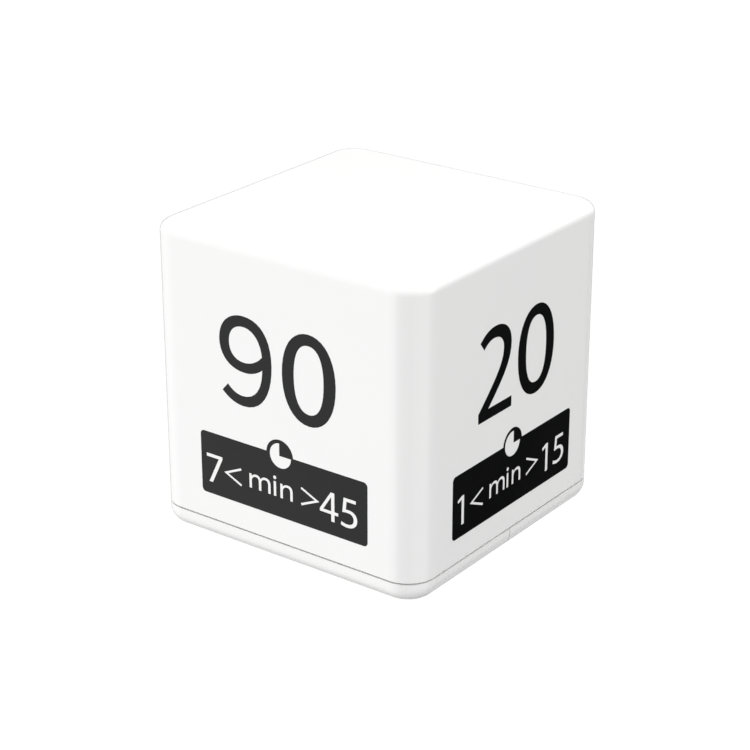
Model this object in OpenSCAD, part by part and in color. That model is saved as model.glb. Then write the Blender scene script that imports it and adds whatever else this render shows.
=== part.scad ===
// Cube countdown timer, turned onto one of its numbered faces to start a countdown.
// Origin at the middle of the base, +Z up, millimetres.
// The front half of the base (-Y) is the fixed cover with the display.
// The rear half (+Y) is the battery door, which slides off towards +Y.

/* [Case] */
// Width and depth of the cube
case_w = 63.5; // [63:0.5:80]
// Height of the cube
case_h = 63.5; // [50:0.5:80]
// Thickness of the shell walls
wall = 2; // [1.6:0.1:2.6]
// Radius of the four upright corners
corner_r = 6; // [4.5:0.1:7.5]
// Radius of the edge round the top
top_edge_r = 2; // [0.5:0.1:3]
// Thickness of the ribs inside the shell
rib_t = 1.2; // [0.8:0.1:2]
// Depth of the ribs under the top
rib_h = 4; // [2:0.5:8]

/* [Base] */
// Height of the band below the seam
band_h = 4.25; // [3.8:0.05:5.2]
// Radius of the edge round the base
base_edge_r = 3.2; // [1:0.1:3.6]
// Thickness of the base plate and of the door
floor_t = 1.8; // [1.5:0.05:2.2]
// Width of the open seam between shell and base
seam_gap = 0.35; // [0.15:0.05:0.4]
// Thickness of the lip that locates the shell
lip_t = 1.4; // [1:0.1:1.8]
// Height of the lip above the band
lip_h = 3.15; // [2:0.05:3.6]
// Depth of the step inside the shell that takes the lip
rebate = 1; // [0.6:0.1:1.2]
// Clearance between parts that slip together
slip = 0.15; // [0.1:0.05:0.25]
// Gap between the cover and the door on the base
split_gap = 0.25; // [0.15:0.05:0.4]
// Clearance of the sliding door under the deck
door_gap = 0.3; // [0.2:0.05:0.4]
// Thickness of the rail that carries the door
rail_t = 0.9; // [0.7:0.1:1.1]
// Reach of the door's tongue over its rail
tongue_w = 1; // [0.7:0.1:1.1]
// Thickness of the deck above the door
deck_t = 0.75; // [0.6:0.05:1.2]

/* [Screws] */
// Distance of the case screws from the side faces
screw_inset = 5.6; // [5.4:0.1:6]
// Radius of the screw bosses
boss_r = 2.4; // [2:0.1:2.5]
// Height of the joint between cover posts and shell bosses
boss_z = 8; // [7.9:0.1:8.4]
// Radius of the case screws
screw_r = 1; // [0.8:0.1:1.1]
// Radius of the case screw heads
head_r = 1.75; // [1.5:0.05:1.8]
// Height of the case screw heads
head_h = 1.3; // [1:0.1:1.5]
// Height of the seat under the screw heads
head_z = 4.2; // [4:0.1:5]
// Length of the case screws below the head
screw_l = 10; // [8:0.5:14]

/* [Batteries] */
// Diameter of one AAA cell
cell_d = 10.5; // [10:0.1:10.6]
// Length of one AAA cell
cell_l = 44.5; // [43.5:0.1:44.6]
// Radial clearance of the cells in their cradle
cell_gap = 0.15; // [0.1:0.05:0.2]
// Thickness of the battery bay walls
bay_t = 1.2; // [0.8:0.1:1.25]
// Thickness of the contact plates
contact_t = 0.4; // [0.3:0.05:0.5]
// Length of a pressed contact spring
spring_l = 2.6; // [2:0.1:3]
// Diameter of the spring wire
spring_wire = 0.6; // [0.4:0.05:0.6]
// Number of turns of a contact spring
spring_turns = 3.5; // [2.5:0.5:3.5]

/* [Display] */
// Width of the display opening
view_w = 38; // [30:0.5:39]
// Depth of the display opening
view_d = 15; // [10:0.5:15.5]
// Width of the rim that carries the window
window_rim = 2; // [1:0.1:2.2]
// Thickness of the window
window_t = 1; // [0.6:0.1:1.1]
// Thickness of one glass of the display
glass_t = 0.8; // [0.5:0.1:1]
// Thickness of the polarising films on the display
film_t = 0.15; // [0.1:0.05:0.25]
// Width of the strip that joins glass and board
strip_t = 1.7; // [1:0.1:1.8]

/* [Switch] */
// Travel of the power knob
knob_travel = 3; // [1.5:0.1:3.6]
// Length of the knob under the thumb
knob_l = 3.6; // [2.5:0.1:4.4]
// Width of the knob under the thumb
knob_w = 2.6; // [1.8:0.1:2.8]
// Distance of the switch from the front face
switch_inset = 5.25; // [5.2:0.05:5.5]

/* [Board] */
// Height of the underside of the board
board_z = 9; // [8.6:0.1:9.4]
// Thickness of the board
board_t = 1.2; // [0.8:0.1:1.6]
// Distance of the board from the shell walls
board_gap = 2; // [1:0.1:2.2]
// Radius of the board screws
board_screw_r = 0.8; // [0.6:0.1:0.9]

/* [Tilt sensors] */
// Outer radius of a sensor can
can_r = 2.4; // [2:0.1:2.8]
// Length of a sensor can
can_l = 9; // [8:0.5:10]
// Wall of a sensor can
can_t = 0.3; // [0.2:0.05:0.4]
// Radius of the loose ball
ball_r = 1.9; // [1.5:0.05:1.95]

/* [Sounder] */
// Radius of the brass plate
sounder_r = 10; // [8:0.5:10.5]
// Thickness of the brass plate
sounder_t = 0.3; // [0.2:0.05:0.4]
// Radius of the ceramic disc
ceramic_r = 7; // [5:0.5:7.5]
// Number of sound slots in the base
slots = 5; // [3:1:5]

/* [Hidden] */
$fn = 64;
eps = 0.01;      // overlap that makes a cut run past a face
half = case_w / 2;
seat = 0.05;     // gap of parts that touch under load

// Base levels
inner = half - wall;                          // inner face of the walls, from the middle
deck_z = floor_t + door_gap;                  // underside of the deck above the door
rail_top = deck_z + rail_t;
ring_z = band_h + 0.2;                        // underside of the lip above the door's band
deck_top = ring_z + deck_t;
shell_z = band_h + seam_gap;
lip_top = band_h + lip_h;
lip_out = half - rebate - slip;
lip_in = lip_out - lip_t;
deck_out = inner - door_gap;
channel_in = inner - tongue_w - slip;         // inner wall of the door's channel
step_t = 1.5;                                 // wall that closes the step between plate and deck
boss_at = half - screw_inset;
plug_r = boss_r + 0.2;

// Battery bay
cradle_r = cell_d / 2 + cell_gap;
cell_z = floor_t + door_gap + cell_d / 2;
bay_y0 = 0.7;                                 // inner face of the bay wall next to the split
cell_y = [bay_y0 + cradle_r, bay_y0 + 3 * cradle_r];
bay_y1 = bay_y0 + 4 * cradle_r;
bay_top = cell_z + cradle_r + bay_t;
dimple_h = 0.5;
plate_x = (cell_l + spring_l + dimple_h + 2 * seat) / 2;   // inner face of the contact plates
cell_x = plate_x - dimple_h - seat - cell_l / 2;           // cell 1 points to +X, cell 2 to -X
pocket_x = plate_x + contact_t + 0.1;
bay_x = pocket_x + bay_t;
nub_r = 1.9;
nub_h = 0.8;
plate_w = 9.4;
tab_w = 2.4;
tab_h = 1.7;                                  // rise of the solder tabs above the bay
spring_r = [3.5, 2.1];

// Display
view_y = -12.6;                               // middle of the display opening
window_z = 0.25;                              // depth of the window face in the base
front_glass_w = view_w + 4.4;
front_glass_y = [view_y - view_d / 2 - 2.4, view_y + view_d / 2 + 2];
frame_t = 1;
frame_w = front_glass_w + 2 * slip + 2 * frame_t;
glue = 0.02;                                  // gap between the layers of the display
front_film_z = floor_t + seat;
glass_z = front_film_z + film_t + glue;
rear_glass_z = glass_z + glass_t + glue;
rear_film_z = rear_glass_z + glass_t + glue;
shelf_z = rear_film_z + film_t + 0.1;
rear_glass_y0 = view_y - view_d / 2 - 0.2;

// Board
board_top = board_z + board_t;
board_x = inner - board_gap;
board_y = [-(inner - board_gap), -1.2];
board_post = [[24.8, -3.6], [24.8, -19]];
board_post_r = 1.7;
board_head_r = 1.5;
controller_at = [0, -8.5];
crystal_at = [6.5, -8.5];
crystal_r = 1;
capacitor_at = [-18.5, -9.5];
coil_at = [18.5, -14.5];
chip_rows = [-4.15, -13.6];

// Switch
switch_y = -(half - switch_inset);
knob_rest = -knob_travel / 2;
stem_w = 1.6;
switch_l = 4.4 + knob_travel + 1.2;
switch_w = 3.6;
switch_z = board_z - 3.4;
flange_l = knob_l + 2 * knob_travel + 1;
flange_w = 4.4;
switch_pin_r = 0.35;
knob_sink = 0.35;                             // the knob ends this far inside the base face

// Tilt sensors, in their own frame along X
can_in = can_r - can_t;
plug_l = 2;
pin_r = 0.3;
pin_y = 1;
pin_in = can_l / 2 - plug_l - 0.4;            // end of the pins inside the can
ball_x = pin_in - sqrt(pow(ball_r, 2) - pow(pin_y - pin_r, 2)) - seat;
can_z = board_top + can_r + 0.1;
tilt_at = [[-10, -18.5, 135], [10, -18.5, 45]];             // x, y and turn of the two cans
pin_out = can_l / 2 + 1.1;                    // where the pins turn down to the board
pin_bend = 0.5;

// Sounder
sounder_y = bay_y0 + 2 * cradle_r;
ledge_h = 1.2;
sounder_z = bay_top + ledge_h;
sounder_top = sounder_z + sounder_t + 1;

// Leads
lead_r = 0.5;
battery_lead_z = bay_top + 1.1;
solder_z = board_top + 0.1;

// Door grip
grip_y = 9;
grip_w = 18;
grip_d = 9;
grip_rib_w = 13;
grip_pitch = 1.8;

// Flat outline with rounded corners
module round_rect(w, d, r) {
    square([w - 2 * r, d], center = true);
    square([w, d - 2 * r], center = true);
    for (x = [-1, 1], y = [-1, 1]) translate([x * (w / 2 - r), y * (d / 2 - r)]) circle(r);
}

module plate(w, d, h, r) {
    linear_extrude(h) round_rect(w, d, r);
}

// Half profile of an upright side whose upper edge is rounded
module side_profile(w, h, edge) {
    intersection() {
        square([w, h]);
        union() {
            square([w - edge, h]);
            square([w, h - edge]);
            translate([w - edge, h - edge]) circle(edge);
        }
    }
}

// Block with upright corners of one radius and a top edge of another
module rounded_block(w, h, corner, edge) {
    straight = w - 2 * corner;
    for (a = [0 : 90 : 270]) {
        rotate(a) translate([straight / 2, straight / 2])
            rotate_extrude(angle = 90) side_profile(corner, h, edge);
    }
    for (a = [0, 90]) {
        rotate([90, 0, a]) linear_extrude(straight, center = true) {
            side_profile(w / 2, h, edge);
            mirror([1, 0]) side_profile(w / 2, h, edge);
        }
    }
}

module at_bosses(ys = [-1, 1]) {
    for (x = [-1, 1], y = ys) translate([x * boss_at, y * boss_at]) children();
}

// Round tube along a list of points; up is any direction that the path never follows
function unit(v) = v / norm(v);
function tangent(p, i) = unit(p[min(i + 1, len(p) - 1)] - p[max(i - 1, 0)]);
function ring(p, i, r, n, up) =
    let(t = tangent(p, i), u = unit(cross(t, up)), v = cross(u, t))
    [for (k = [0 : n - 1]) p[i] + r * (cos(360 * k / n) * u + sin(360 * k / n) * v)];

module tube(p, r, n, up) {
    last = (len(p) - 1) * n;
    polyhedron(
        points = [for (i = [0 : len(p) - 1]) each ring(p, i, r, n, up)],
        faces = concat(
            [[for (k = [0 : n - 1]) n - 1 - k]],
            [[for (k = [0 : n - 1]) last + k]],
            [for (i = [0 : len(p) - 2], k = [0 : n - 1])
                [i * n + k, i * n + (k + 1) % n, (i + 1) * n + (k + 1) % n, (i + 1) * n + k]]
        )
    );
}

// Smooth path through hand-placed points
function spline_point(a, b, c, d, t) = b + 0.5 * t * (
    c - a + (2 * a - 5 * b + 4 * c - d) * t + (3 * b - a - 3 * c + d) * pow(t, 2)
);
function spline(p, steps = 4) = [
    for (i = [0 : len(p) - 2], s = [0 : steps - 1])
        spline_point(p[max(i - 1, 0)], p[i], p[i + 1], p[min(i + 2, len(p) - 1)], s / steps),
    p[len(p) - 1]
];

module body_shell() color("white") {
    cavity_h = case_h - wall;
    difference() {
        translate([0, 0, shell_z]) rounded_block(case_w, case_h - shell_z, corner_r, top_edge_r);
        translate([0, 0, -1]) rounded_block(case_w - 2 * wall, cavity_h + 1, corner_r - wall, 1);
        // step that takes the lip of the base
        translate([0, 0, shell_z - 1])
            plate(case_w - 2 * rebate, case_w - 2 * rebate, lip_top + slip - shell_z + 1, corner_r - rebate);
    }
    // bosses for the case screws, each tied to its corner by two ribs
    difference() {
        union() {
            at_bosses() {
                translate([0, 0, boss_z]) cylinder(r = boss_r, h = cavity_h + eps - boss_z);
            }
            rib_z = lip_top + slip + 1;
            for (x = [-1, 1], y = [-1, 1]) {
                translate([x * (boss_at + inner) / 2, y * boss_at, (rib_z + cavity_h) / 2])
                    cube([inner - boss_at + 2 * eps, rib_t, cavity_h - rib_z + 2 * eps], center = true);
                translate([x * boss_at, y * (boss_at + inner) / 2, (rib_z + cavity_h) / 2])
                    cube([rib_t, inner - boss_at + 2 * eps, cavity_h - rib_z + 2 * eps], center = true);
            }
            // stiffening cross under the top
            for (a = [45, 135]) {
                rotate(a) translate([0, 0, cavity_h - rib_h / 2])
                    cube([2 * boss_at * sqrt(2), rib_t, rib_h + 2 * eps], center = true);
            }
        }
        at_bosses() {
            translate([0, 0, boss_z - 1]) cylinder(r = screw_r + seat, h = screw_l + 1);
        }
    }
}

// Outer form of the whole base, upside down block so that its lower edge is the rounded one
module base_form() {
    translate([0, 0, band_h]) mirror([0, 0, 1]) rounded_block(case_w, band_h, corner_r, base_edge_r);
}

module lip_ring(z) {
    translate([0, 0, z]) linear_extrude(lip_top - z) difference() {
        round_rect(2 * lip_out, 2 * lip_out, corner_r - rebate - slip);
        round_rect(2 * lip_in, 2 * lip_in, corner_r - rebate - slip - lip_t);
    }
}

// Cell cradles: two round channels side by side, open towards the door
module cell_space() {
    end_x = plate_x - 0.1;
    for (y = cell_y) {
        translate([-end_x, y, cell_z]) rotate([0, 90, 0]) cylinder(r = cradle_r, h = 2 * end_x);
    }
    translate([-end_x, bay_y0, 0]) cube([2 * end_x, bay_y1 - bay_y0, cell_z]);
}

module contact_pocket() {
    depth = pocket_x - plate_x + 0.1;
    pocket_z = deck_z - 1;
    pocket_h = cell_z + cradle_r - 0.3 - pocket_z;
    translate([plate_x - 0.1, bay_y0, pocket_z]) cube([depth, bay_y1 - bay_y0, pocket_h]);
}

module tab_slot(y) {
    translate([plate_x + contact_t / 2, y, bay_top])
        cube([contact_t + 0.3, tab_w + 0.4, 4 * bay_t], center = true);
}

// Fixed front half of the base, open above
module front_plate() {
    intersection() {
        union() {
            difference() {
                base_form();
                translate([0, 0, floor_t]) plate(2 * inner, 2 * inner, band_h, corner_r - wall);
            }
            lip_ring(floor_t - eps);
            at_bosses([-1]) translate([0, 0, floor_t - eps]) cylinder(r = plug_r, h = boss_z - floor_t + eps);
        }
        translate([-half, -case_w - split_gap / 2, 0]) cube([case_w, case_w, boss_z]);
    }
}

// Rear part of the cover: a deck that the door slides under, with the rails at its sides
module rear_deck() {
    difference() {
        union() {
            intersection() {
                union() {
                    translate([0, 0, deck_z])
                        plate(2 * deck_out, 2 * deck_out, deck_top - deck_z, corner_r - wall - door_gap);
                    translate([0, 0, ring_z])
                        plate(2 * lip_out, 2 * lip_out, deck_t, corner_r - rebate - slip);
                    lip_ring(ring_z);
                }
                translate([-half, -step_t - split_gap / 2, 0]) cube([case_w, case_w, case_h]);
            }
            at_bosses([1]) translate([0, 0, deck_z]) cylinder(r = plug_r, h = boss_z - deck_z);
            translate([-bay_x, bay_y0 - bay_t, deck_z])
                cube([2 * bay_x, bay_y1 - bay_y0 + 2 * bay_t, bay_top - deck_z]);
        }
        for (x = [-1, 1]) {
            translate([x * (channel_in + half) / 2, half / 2 + 1, (rail_top + band_h) / 2])
                cube([half - channel_in, half + 2.01 + split_gap, band_h - rail_top], center = true);
        }
        cell_space();
        for (x = [0, 1]) mirror([x, 0, 0]) contact_pocket();
        for (y = cell_y) tab_slot(y);
    }
}

module window_cut() {
    translate([0, view_y, -1]) plate(view_w, view_d, floor_t + 2, 1);
    translate([0, view_y, -1])
        plate(view_w + 2 * window_rim + 2 * slip, view_d + 2 * window_rim + 2 * slip,
            1 + window_z + window_t + seat, 1.5);
}

module switch_cut() {
    dish_l = knob_l + knob_travel + 6;
    dish_w = knob_w + 2.6;
    translate([0, switch_y, -1]) plate(knob_l + knob_travel + 0.4, knob_w + 0.4, floor_t + 2, 0.6);
    // shallow thumb dish, cut as a slice of a long cylinder
    dish_depth = 0.7;
    dish_r = (pow(dish_l / 2, 2) + pow(dish_depth, 2)) / (2 * dish_depth);
    intersection() {
        translate([0, switch_y, dish_depth - dish_r]) rotate([90, 0, 0])
            cylinder(r = dish_r, h = dish_w, center = true, $fn = 128);
        translate([0, switch_y, 0]) cube([dish_l + 4, dish_w, 4], center = true);
    }
}

module sound_slots() {
    first_x = 11.5;
    pitch = 2;
    for (i = [0 : slots - 1]) {
        translate([first_x + pitch * i, switch_y, -1]) plate(1, 3.6, floor_t + 2, 0.499);
    }
}

module base_cover() color("white") difference() {
    union() {
        front_plate();
        // wall of the step from the plate up to the deck
        translate([-deck_out + 0.8, -step_t - split_gap / 2, floor_t - eps])
            cube([2 * deck_out - 1.6, step_t, deck_z - floor_t + 2 * eps]);
        rear_deck();
        for (p = board_post, x = [-1, 1]) translate([x * p[0], p[1], floor_t - eps]) {
            cylinder(r = board_post_r, h = board_z - floor_t + eps);
        }
    }
    at_bosses([-1]) translate([0, 0, -1]) cylinder(r = head_r + 0.2, h = head_z + 1);
    at_bosses([1]) translate([0, 0, deck_z - 1]) cylinder(r = head_r + 0.2, h = head_z - deck_z + 1);
    at_bosses() cylinder(r = screw_r + 0.2, h = boss_z + 1);
    for (p = board_post, x = [-1, 1]) {
        translate([x * p[0], p[1], board_z - 4.5]) cylinder(r = board_screw_r + seat, h = 6);
    }
    window_cut();
    switch_cut();
    sound_slots();
}

module battery_door() color("white") {
    tongue_l = inner - corner_r + wall + 1.5;
    difference() {
        union() {
            intersection() {
                difference() {
                    base_form();
                    translate([0, 0, floor_t]) plate(2 * inner, 2 * inner, band_h, corner_r - wall);
                }
                translate([-half - 1, split_gap / 2, -1]) cube([case_w + 2, case_w, band_h + 2]);
            }
            // tongues that run on the rails of the deck
            for (x = [-1, 1]) {
                translate([x * (inner - tongue_w / 2 + 0.1), 1 + tongue_l / 2, (rail_top + band_h) / 2])
                    cube([tongue_w + 0.2, tongue_l, band_h - rail_top - 2 * slip], center = true);
            }
        }
        // thumb recess with grip ribs left standing
        difference() {
            translate([0, grip_y, -1]) plate(grip_w, grip_d, 1.6, 2);
            for (i = [-1.5 : 1 : 1.5]) {
                translate([0, grip_y + i * grip_pitch, 0.15])
                    linear_extrude(1) round_rect(grip_rib_w, 0.8, 0.39);
            }
        }
        // arrow that shows the way the door slides
        translate([0, grip_y + grip_d / 2 + 2.4, -1])
            linear_extrude(1.4) polygon([[-2.4, -1.2], [2.4, -1.2], [0, 1.6]]);
    }
}

module cover_screws() color("silver") {
    at_bosses() difference() {
        union() {
            translate([0, 0, head_z]) cylinder(r = screw_r, h = screw_l);
            translate([0, 0, head_z - head_h]) cylinder(r = head_r, h = head_h);
        }
        for (a = [0, 90]) rotate(a) translate([0, 0, head_z - head_h]) cube([2, 0.5, 1.4], center = true);
    }
}

module display_window() color([0.8, 0.85, 0.85, 0.4]) {
    translate([0, view_y, window_z]) plate(view_w + 2 * window_rim, view_d + 2 * window_rim, window_t, 1.3);
}

module display_front_glass() color([0.75, 0.8, 0.72]) {
    translate([-front_glass_w / 2, front_glass_y[0], glass_z])
        cube([front_glass_w, front_glass_y[1] - front_glass_y[0], glass_t]);
}

module display_rear_glass() color([0.7, 0.76, 0.68]) {
    translate([-front_glass_w / 2, rear_glass_y0, rear_glass_z])
        cube([front_glass_w, front_glass_y[1] - rear_glass_y0, glass_t]);
}

// Film over the viewing area of one side of the display
module display_film(z) {
    margin = 0.15;
    translate([-front_glass_w / 2 + margin, rear_glass_y0 + margin, z])
        cube([front_glass_w - 2 * margin, front_glass_y[1] - rear_glass_y0 - 2 * margin, film_t]);
}

module display_front_film() color([0.55, 0.6, 0.5]) display_film(front_film_z);

module display_rear_film() color([0.75, 0.76, 0.72]) display_film(rear_film_z);

module display_frame() color("white") {
    depth = front_glass_y[1] - front_glass_y[0];
    mid = (front_glass_y[0] + front_glass_y[1]) / 2;
    top = board_z - floor_t;
    difference() {
        translate([-frame_w / 2, front_glass_y[0] - slip - frame_t, floor_t])
            cube([frame_w, depth + 2 * slip + 2 * frame_t, top]);
        // room for the two glasses
        translate([-front_glass_w / 2 - slip, front_glass_y[0] - slip, floor_t - 1])
            cube([front_glass_w + 2 * slip, depth + 2 * slip, shelf_z - floor_t + 1]);
        // opening above the shelf that holds the glasses down
        translate([-front_glass_w / 2 + 2, rear_glass_y0 + 1, shelf_z - 1])
            cube([front_glass_w - 4, front_glass_y[1] - rear_glass_y0 - 2.4, top]);
        translate([-front_glass_w / 2 - slip, rear_glass_y0 + 1, shelf_z + 1])
            cube([front_glass_w + 2 * slip, front_glass_y[1] + slip - rear_glass_y0 - 1, top]);
        // slot of the connector strip
        translate([-front_glass_w / 2 + 0.8 - slip, front_glass_y[0] + 0.2 - slip, floor_t])
            cube([front_glass_w - 1.6 + 2 * slip, strip_t + 2 * slip, top + 1]);
    }
}

module connector_strip() color("dimgray") {
    z = glass_z + glass_t;
    translate([-front_glass_w / 2 + 0.8, front_glass_y[0] + 0.2, z])
        cube([front_glass_w - 1.6, strip_t, board_z - z]);
}

module tilt_place(n) {
    translate([tilt_at[n][0], tilt_at[n][1], can_z]) rotate(tilt_at[n][2]) children();
}

module main_board() color("darkgreen") difference() {
    translate([-board_x, board_y[0], board_z]) cube([2 * board_x, board_y[1] - board_y[0], board_t]);
    at_bosses([-1]) translate([0, 0, board_z - 1]) cylinder(r = boss_r + 0.6, h = board_t + 2);
    for (x = [-1, 1]) {
        translate([x * (boss_at + board_x), -(boss_at + inner) / 2 - board_x + boss_at, board_z])
            cube([2 * board_x - 2 * boss_at, 2 * board_x - 2 * boss_at, 8], center = true);
    }
    for (p = board_post, x = [-1, 1]) {
        translate([x * p[0], p[1], board_z - 1]) cylinder(r = board_screw_r + 0.15, h = board_t + 2);
    }
    at_switch_pins() translate([0, 0, board_z - 1]) cylinder(r = switch_pin_r + 0.15, h = board_t + 2);
    for (n = [0, 1]) {
        tilt_place(n) for (y = [-1, 1]) {
            translate([pin_out, y * pin_y, board_z - can_z - 1]) cylinder(r = pin_r + 0.15, h = board_t + 2);
        }
    }
}

module board_screws() color("silver") {
    for (p = board_post, x = [-1, 1]) translate([x * p[0], p[1], 0]) {
        translate([0, 0, board_top - 5]) cylinder(r = board_screw_r, h = 5);
        difference() {
            translate([0, 0, board_top]) cylinder(r = board_head_r, h = 1);
            for (a = [0, 90]) rotate(a) translate([0, 0, board_top + 1]) cube([1.8, 0.4, 1], center = true);
        }
    }
}

module controller_drop() color([0.08, 0.08, 0.08]) {
    drop_r = 4.2;
    drop_h = 1.6;
    ball = (pow(drop_r, 2) + pow(drop_h, 2)) / (2 * drop_h);
    intersection() {
        translate([controller_at[0], controller_at[1], board_top + drop_h - ball]) sphere(ball);
        translate([controller_at[0], controller_at[1], board_top]) cylinder(r = 2 * drop_r, h = 2 * drop_h);
    }
}

module crystal_can() color("silver") {
    translate([crystal_at[0], crystal_at[1], board_top + crystal_r + seat]) rotate([0, 90, 0])
        cylinder(r = crystal_r, h = 6);
}

module capacitor() color([0.15, 0.18, 0.3]) {
    translate([capacitor_at[0], capacitor_at[1], board_top]) {
        cylinder(r = 2.5, h = 7);
        cylinder(r = 2.65, h = 0.8);
    }
}

module driver_coil() color([0.1, 0.1, 0.1]) {
    translate([coil_at[0], coil_at[1], board_top]) {
        cylinder(r = 3, h = 0.8);
        cylinder(r = 2, h = 5);
        translate([0, 0, 4.2]) cylinder(r = 3, h = 0.8);
    }
}

module chip_parts() color([0.2, 0.2, 0.2]) {
    for (i = [0 : 4], y = chip_rows) {
        translate([-9.5 + i * 2.4, y, board_top]) cube([1.6, 0.8, 0.5]);
    }
    for (y = [-8.5, -5.5]) translate([-13.6, y, board_top]) cube([2.9, 1.3, 1.1]);
}

module switch_frame() color("silver") difference() {
    translate([-switch_l / 2, switch_y - switch_w / 2, switch_z])
        cube([switch_l, switch_w, board_z - switch_z]);
    translate([-switch_l / 2 + 0.3, switch_y - switch_w / 2 + 0.3, switch_z + 0.3])
        cube([switch_l - 0.6, switch_w - 0.6, board_z - switch_z]);
    translate([-(stem_w + knob_travel + 0.4) / 2, switch_y - stem_w / 2 - 0.15, switch_z - 1])
        cube([stem_w + knob_travel + 0.4, stem_w + 0.3, 2]);
}

module at_switch_pins() {
    for (x = [-1 : 1]) translate([x * (knob_travel / 2 + 0.5), switch_y, 0]) children();
}

module switch_base() color("saddlebrown") difference() {
    translate([-switch_l / 2 + 0.35, switch_y - switch_w / 2 + 0.35, board_z - 1])
        cube([switch_l - 0.7, switch_w - 0.7, 1]);
    at_switch_pins() translate([0, 0, board_z - 2]) cylinder(r = switch_pin_r + glue, h = 3);
}

module switch_pins() color("silver") {
    at_switch_pins() translate([0, 0, board_z - 1.8]) cylinder(r = switch_pin_r, h = board_t + 2.4);
}

// The slider and the knob are drawn at rest, at the end of their travel
module switch_slider() color([0.12, 0.12, 0.12]) translate([knob_rest, switch_y, 0]) {
    translate([-2.1, -(switch_w - 0.9) / 2, switch_z + 0.4]) cube([4.2, switch_w - 0.9, 1]);
    translate([-stem_w / 2, -stem_w / 2, floor_t + 1]) cube([stem_w, stem_w, switch_z - floor_t]);
}

module power_knob() color([0.15, 0.15, 0.15]) translate([knob_rest, switch_y, 0]) difference() {
    bore = stem_w + 2 * seat;
    union() {
        translate([0, 0, knob_sink]) plate(knob_l, knob_w, floor_t - knob_sink + 0.5, 0.5);
        translate([0, 0, floor_t + 0.1]) plate(flange_l, flange_w, 0.7, 0.6);
        translate([0, 0, floor_t + 0.1]) plate(3.4, 3, 2.4, 0.4);
    }
    translate([-bore / 2, -bore / 2, floor_t + 1 - seat]) cube([bore, bore, 4]);
    // grip grooves across the thumb face
    for (i = [-1 : 1]) translate([i * 0.9, 0, knob_sink]) cube([0.4, knob_w + 1, 0.5], center = true);
}

module tilt_can(n) color("gainsboro") tilt_place(n) rotate([0, 90, 0]) difference() {
    translate([0, 0, -can_l / 2]) cylinder(r = can_r, h = can_l);
    translate([0, 0, -can_l / 2 + can_t]) cylinder(r = can_in, h = can_l);
}

module pin_pair(r) {
    for (y = [-1, 1]) {
        translate([pin_in, y * pin_y, 0]) rotate([0, 90, 0]) cylinder(r = r, h = pin_out - pin_bend - pin_in);
        translate([pin_out - pin_bend, y * pin_y, -pin_bend]) rotate([90, 0, 0])
            rotate_extrude(angle = 90) translate([pin_bend, 0]) circle(r, $fn = 24);
        translate([pin_out, y * pin_y, board_z - 0.6 - can_z]) cylinder(r = r, h = can_z - board_z + 0.1);
    }
}

module tilt_plug(n) color("khaki") tilt_place(n) difference() {
    translate([can_l / 2 - plug_l, 0, 0]) rotate([0, 90, 0]) cylinder(r = can_in - 0.02, h = plug_l);
    for (y = [-1, 1]) {
        translate([0, y * pin_y, 0]) rotate([0, 90, 0]) cylinder(r = pin_r + 0.02, h = can_l);
    }
}

module tilt_pins(n) color("gold") tilt_place(n) pin_pair(pin_r);

module tilt_ball(n) color("silver") tilt_place(n) translate([ball_x, 0, 0]) sphere(ball_r);

module sounder_plate() color("gold") {
    translate([0, sounder_y, sounder_z]) cylinder(r = sounder_r, h = sounder_t);
}

module sounder_ceramic() color("ivory") {
    translate([0, sounder_y, sounder_z + sounder_t]) cylinder(r = ceramic_r, h = 0.25);
}

module sounder_ring() color("white") translate([0, sounder_y, bay_top]) difference() {
    cylinder(r = sounder_r + 1.2, h = ledge_h + sounder_t + 1);
    translate([0, 0, -1]) cylinder(r = sounder_r - 1, h = 5);
    translate([0, 0, ledge_h]) cylinder(r = sounder_r + seat, h = 3);
    // gap that the two leads pass through
    translate([0, -sounder_r, ledge_h + sounder_t + 1]) cube([6.4, 5, 2], center = true);
}

// A cell along X: can with its crimp groove, the flat negative end and the nub on the positive end
module battery_cell(n) color("dimgray") translate([n == 0 ? cell_x : -cell_x, cell_y[n], cell_z])
    rotate([0, n == 0 ? 90 : -90, 0]) translate([0, 0, -cell_l / 2]) {
        body_l = cell_l - nub_h;
        difference() {
            translate([0, 0, 0.15]) cylinder(r = cell_d / 2, h = body_l - 0.15);
            translate([0, 0, body_l - 3]) rotate_extrude() translate([cell_d / 2 + 0.15, 0]) circle(0.45);
            translate([0, 0, body_l - 0.4]) difference() {
                cylinder(r = cell_d / 2 - 0.9, h = 1);
                translate([0, 0, -1]) cylinder(r = nub_r, h = 3);
            }
        }
        cylinder(r = cell_d / 2 - 0.8, h = 1);
        cylinder(r = nub_r, h = cell_l);
    }

// Flat contact in its pocket, with a tab for the lead
module contact_blank(y) {
    z0 = deck_z + 0.2;
    translate([plate_x, y - plate_w / 2, z0]) cube([contact_t, plate_w, cell_z + cradle_r - 0.4 - z0]);
    translate([plate_x, y - tab_w / 2, cell_z]) cube([contact_t, tab_w, bay_top + tab_h - cell_z]);
}

module dimple(y) {
    base_r = 2;
    ball = (pow(base_r, 2) + pow(dimple_h, 2)) / (2 * dimple_h);
    intersection() {
        translate([plate_x - dimple_h + ball, y, cell_z]) sphere(ball);
        translate([plate_x - 1, y, cell_z]) rotate([0, 90, 0])
            cylinder(r = base_r + 1, h = 1 + contact_t / 2);
    }
}

module contact_positive() color("silver") {
    contact_blank(cell_y[0]);
    dimple(cell_y[0]);
}

module contact_negative() color("silver") contact_blank(cell_y[1]);

module contact_bridge() color("silver") mirror([1, 0, 0]) {
    z0 = deck_z + 0.2;
    translate([plate_x, cell_y[0] - plate_w / 2, z0])
        cube([contact_t, cell_y[1] - cell_y[0] + plate_w, cell_z + cradle_r - 0.4 - z0]);
    dimple(cell_y[1]);
}

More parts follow.
